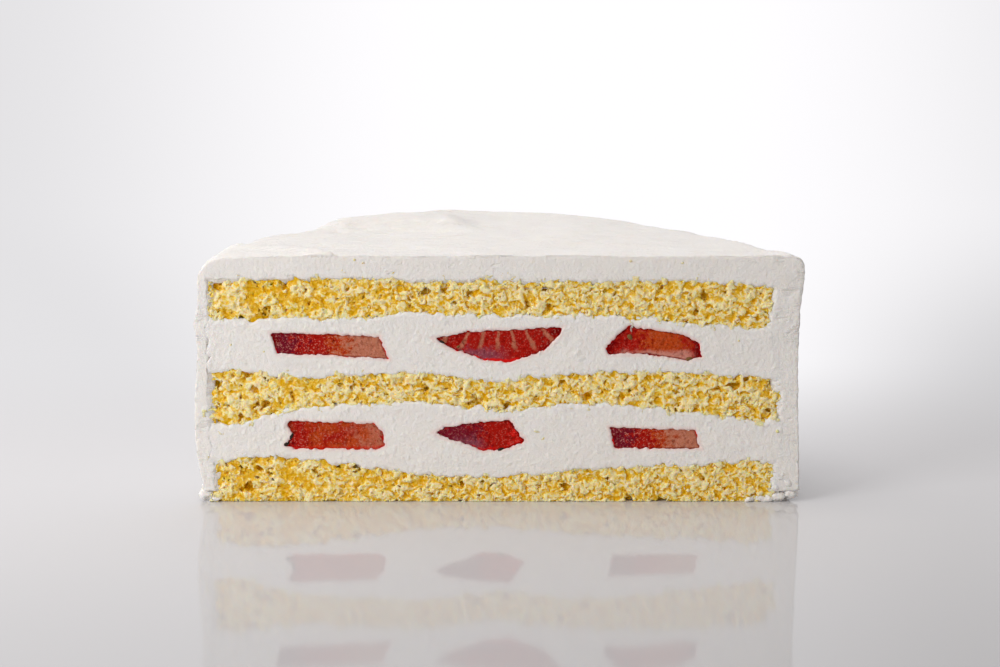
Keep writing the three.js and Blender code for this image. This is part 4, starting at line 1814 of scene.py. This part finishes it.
@dataclass
class Studio:
    """Floor, light and camera.

    The floor is a glossy table near the cake, with painted shade towards the front and the right. Behind
    the cake it runs out into a glowing backdrop with a painted pool of light in the middle.

    Attributes:
        lens: The lens in millimetres.
        pitch: How far the camera looks down, in degrees.
        eye: The camera's place in millimetres.
        tint: The colour of the table and of the light behind the cake.
        warm: The colour of the light in front.
        table: How pale the table is.
        gloss: The table's index of refraction.
        front: The room's brightness in front.
        behind: The room's brightness behind the cake.
        key: The power of the light above, in watts.
        fill: The power of the light at the left, in watts.
    """

    lens: float = 100.0
    pitch: float = 11.0
    eye: tuple[float, float, float] = (0.5, -710.3, 173.7)
    tint: Colour = (0.992, 0.98, 1.0)
    warm: Colour = (1.0, 0.94, 0.875)
    table: float = 0.655
    gloss: float = 1.28
    front: float = 0.43
    behind: float = 0.95
    key: float = 2.0
    fill: float = 2.7

    def floor(self) -> None:
        """A pale glossy table with painted shade towards the front and the right; further back it glows,
        with a painted pool of light in the middle and painted shade at the sides.
        """
        bpy.ops.mesh.primitive_plane_add(size=30.0, location=(0, 0, 0))
        floor = bpy.context.active_object
        floor.name = "floor"
        material, graph, shader = new_material("floor")
        place = graph.place()
        x, y, _ = graph.parts(place)
        away = graph.math("SUBTRACT", y, self.eye[1])
        side = graph.math("DIVIDE", x, away)
        right = graph.ramp(side, -0.12, 0.16)

        # Painted shade: the table's colour darkens towards the front and towards the right.
        near = graph.ramp(y, -210.0, 0.0, to=(0.73, 0.98))
        right_shade = graph.ramp(side, 0.085, 0.19, to=(1.0, 0.86))
        table = graph.math("MULTIPLY", graph.math("MULTIPLY", near, right_shade), self.table)
        graph.feed(shader.inputs["Base Color"], graph.scaled(self.tint, table))
        shader.inputs["Roughness"].default_value = 0.06
        shader.inputs["IOR"].default_value = self.gloss

        # Further back the floor glows: a painted pool of light in the middle, dimmer at the sides, and
        # darkest at the near right as painted shade.
        depth = graph.ramp(y, 40.0, 480.0)
        off = graph.math("ABSOLUTE", graph.math("SUBTRACT", side, 0.03))
        width = graph.math("MULTIPLY_ADD", depth, 0.065, 0.165)
        inward = graph.math("SUBTRACT", width, off)
        share = graph.math("DIVIDE", inward, graph.math("SUBTRACT", width, 0.045))
        light_pool = graph.ramp(share, 0.0, 1.0)
        edge = graph.mix(right, (0.78,) * 3, graph.mix(depth, (0.63,) * 3, (0.80,) * 3))
        painted_light = graph.mix(light_pool, edge, (1.02,) * 3)
        glow = graph.node(
            "ShaderNodeEmission", inputs={0: graph.vector("MULTIPLY", painted_light, self.tint), 1: 1.0}
        )
        blend = graph.node(
            "ShaderNodeMixShader",
            inputs={0: graph.ramp(y, -10.0, 150.0), 1: shader.outputs[0], 2: glow.outputs[0]},
        )
        output = material.node_tree.nodes["Material Output"]
        graph.feed(output.inputs["Surface"], blend.outputs[0])
        dress(floor, material)

    def lights(self) -> None:
        """A pale room, brighter behind the cake, with a soft light above and one at the left."""
        world = bpy.data.worlds.new("studio")
        bpy.context.scene.world = world
        world.use_nodes = True
        graph = Graph(world.node_tree)
        room = world.node_tree.nodes["Background"]
        toward = graph.node("ShaderNodeTexCoord").outputs["Generated"]
        x, y, z = graph.parts(toward)
        level = graph.ramp(y, -0.2, 0.8, to=(self.front, self.behind))
        level = graph.math("MULTIPLY", level, graph.math("MULTIPLY_ADD", x, -0.12, 1.0))
        level = graph.math("MULTIPLY", level, graph.math("MULTIPLY_ADD", z, 0.1, 1.0))
        warmth = graph.ramp(y, -0.3, 0.5)
        graph.feed(room.inputs["Color"], graph.mix(warmth, self.warm, self.tint))
        graph.feed(room.inputs["Strength"], level)
        self.area("key", (-0.25, -0.02, 0.9), 0.5, self.key)
        self.area("fill", (-0.5, -0.45, 0.3), 0.35, self.fill)

    def area(self, name: str, place: Sequence[float], size: float, power: float) -> None:
        """A square soft light that faces the cake.

        Args:
            name: The light's name.
            place: Its place in metres.
            size: Its side in metres.
            power: Its power in watts.
        """
        bpy.ops.object.light_add(type="AREA", location=place)
        light = bpy.context.active_object
        light.name = name
        light.data.size = size
        light.data.energy = power
        light.rotation_mode = "QUATERNION"
        toward = Vector((0, 0, 0.03)) - Vector(place)
        light.rotation_quaternion = toward.to_track_quat("-Z", "Y")

    def camera(self) -> None:
        """The photo's viewpoint."""
        place = Vector(self.eye) * MM
        bpy.ops.object.camera_add(location=place, rotation=(math.radians(90 - self.pitch), 0, 0))
        camera = bpy.context.active_object
        camera.data.lens = self.lens
        camera.data.sensor_width = 36.0
        bpy.context.scene.camera = camera
        bpy.context.scene.view_settings.view_transform = "Standard"


# ---- The cake ------------------------------------------------------------------------------------

FRUIT_UPPER = ("strawberry_upper_left", "strawberry_upper_middle", "strawberry_upper_right")
FRUIT_LOWER = ("strawberry_lower_left", "strawberry_lower_middle", "strawberry_lower_right")
FADING = (
    (0.0, Flesh.SKIN), (0.06, Flesh.DUSK), (0.2, Flesh.DUSK), (0.29, Flesh.RED),
    (0.45, Flesh.RED), (0.56, Flesh.ORANGE), (0.7, Flesh.PALE), (1.0, Flesh.PALE),
)
FLESH = (
    BerryFinish("strawberry_upper_left", FADING, flecks=0.6, skin=0.7),
    BerryFinish(
        "strawberry_upper_middle",
        ((0.0, Flesh.SKIN), (0.25, Flesh.RED), (0.85, Flesh.RED), (1.0, Flesh.SKIN)),
        flecks=0.3, strands=0.8, veil=0.85, glow=0.9,
    ),
    BerryFinish(
        "strawberry_upper_right",
        ((0.0, Flesh.SKIN), (0.2, Flesh.RED), (0.34, Flesh.RED), (0.48, Flesh.ORANGE),
         (0.74, Flesh.ORANGE), (0.88, Flesh.RED), (1.0, Flesh.SKIN)),
        flecks=0.2, band=0.9,
    ),
    BerryFinish(
        "strawberry_lower_left",
        ((0.0, Flesh.SKIN), (0.12, Flesh.RED), (0.6, Flesh.RED), (0.9, Flesh.PALE), (1.0, Flesh.RED)),
        blooms=0.9, flecks=0.45, skin=0.45, glow=0.4,
    ),
    BerryFinish(
        "strawberry_lower_middle",
        # Painted light: the GLOW red at both ends stands for light shining through the thin fruit.
        ((0.0, Flesh.GLOW), (0.07, Flesh.DUSK), (0.4, Flesh.DUSK), (0.58, Flesh.RED), (0.8, Flesh.RED),
         (1.0, Flesh.GLOW)),
        flecks=0.3, veil=0.8, glow=0.5,
    ),
    BerryFinish("strawberry_lower_right", FADING, flecks=0.6, skin=0.7),
)


SEEDS = (
    on_slice("strawberry_upper_right", 0.255, 0.67, (0.8, 0.4, 0.55), 60.0),
    on_slice("strawberry_upper_right", 0.864, 0.07, (0.85, 0.4, 0.5), -20.0),
    on_slice("strawberry_upper_middle", 0.205, 0.44, (0.5, 0.3, 0.3), -30.0),
)
DARK_SEEDS = (
    on_slice("strawberry_lower_left", 0.079, 0.45, (0.9, 0.4, 0.4), -60.0),
    on_slice("strawberry_lower_left", 0.03, 0.19, (0.8, 0.4, 0.5), -30.0),
    on_slice("strawberry_lower_middle", 0.734, 0.075, (0.9, 0.35, 0.35), -20.0),
    on_slice("strawberry_upper_middle", 0.085, 0.56, (0.8, 0.3, 0.35), 20.0),
)
CRUMBS = (
    Bit(-35.2, 61.3, (0.35, 0.25, 0.3)), Bit(-33.1, 60.5, (0.4, 0.25, 0.3), 30.0),
    Bit(32.6, 61.0, (0.35, 0.25, 0.3)), Bit(45.4, 60.5, (0.4, 0.25, 0.25), -20.0),
    Bit(69.5, 18.1, (0.5, 0.3, 0.35), 40.0), Bit(9.7, 18.0, (0.9, 0.2, 0.3), 10.0, 0.1),
    Bit(11.2, 16.2, (0.6, 0.2, 0.3), -30.0, 0.1), Bit(-66.0, 40.0, (0.3, 0.2, 0.25)),
    Bit(-57.8, 38.3, (0.25, 0.2, 0.25)), Bit(59.5, 41.0, (0.3, 0.2, 0.25), 15.0),
)
DABS = (
    Bit(70.9, 6.6, (1.9, 1.5, 1.3), -30.0, 1.3), Bit(72.4, 4.6, (2.0, 1.5, 1.4), 20.0, 1.3),
    Bit(70.0, 3.6, (1.7, 1.3, 1.2), 0.0, 1.1), Bit(73.2, 2.0, (1.9, 1.6, 1.3), 10.0, 1.4),
    Bit(70.4, 1.3, (2.1, 1.4, 1.2), -8.0, 1.2), Bit(66.6, 0.8, (2.2, 1.0, 0.8), 5.0, 0.8),
    Bit(63.0, 0.5, (1.2, 0.8, 0.5), 0.0, 0.6), Bit(-72.2, 4.0, (1.5, 1.5, 1.5), 30.0, 1.5),
    Bit(-73.0, 1.8, (1.7, 1.5, 1.4), -10.0, 1.4), Bit(-70.4, 0.8, (1.7, 1.0, 0.8), 0.0, 0.9),
)


def main() -> None:
    """Builds every piece in order."""
    logging.basicConfig(level=logging.INFO, format="%(message)s")
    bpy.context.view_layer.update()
    crumb = CrumbFinish().make()
    cream = CreamFinish().make()
    SpongeLayer("sponge_bottom", "sponge", crumb, seed=1.0).build()
    SpongeLayer("sponge_middle", "sponge", crumb, seed=2.0).build()
    SpongeLayer("sponge_top", "sponge", crumb, seed=3.0).build()
    CreamLayer("cream_lower", "cream", cream, fruit=FRUIT_LOWER).build()
    CreamLayer("cream_upper", "cream", cream, fruit=FRUIT_UPPER).build()
    for finish in FLESH:
        BerrySlice(finish.node, "strawberry", finish.make()).build()
    Coat(CreamFinish("coat cream", strokes=4.0).make()).build()
    seed = PlainFinish("seed", (0.20, 0.10, 0.03), roughness=0.35).make()
    dark_seed = PlainFinish("dark seed", (0.022, 0.014, 0.010), roughness=0.35).make()
    Scatter("seeds", "strawberry", seed, SEEDS, lumps=0.08, grain=0.5).build()
    Scatter("dark_seeds", "strawberry", dark_seed, DARK_SEEDS, lumps=0.1, grain=0.5).build()
    Scatter("loose_crumbs", "sponge", crumb, CRUMBS, lumps=0.2, grain=0.4).build()
    Scatter("foot_dabs", "coat", cream, DABS, lumps=1.1, grain=1.5).build()
    studio = Studio()
    studio.floor()
    studio.lights()
    studio.camera()


if __name__ == "__main__":
    main()
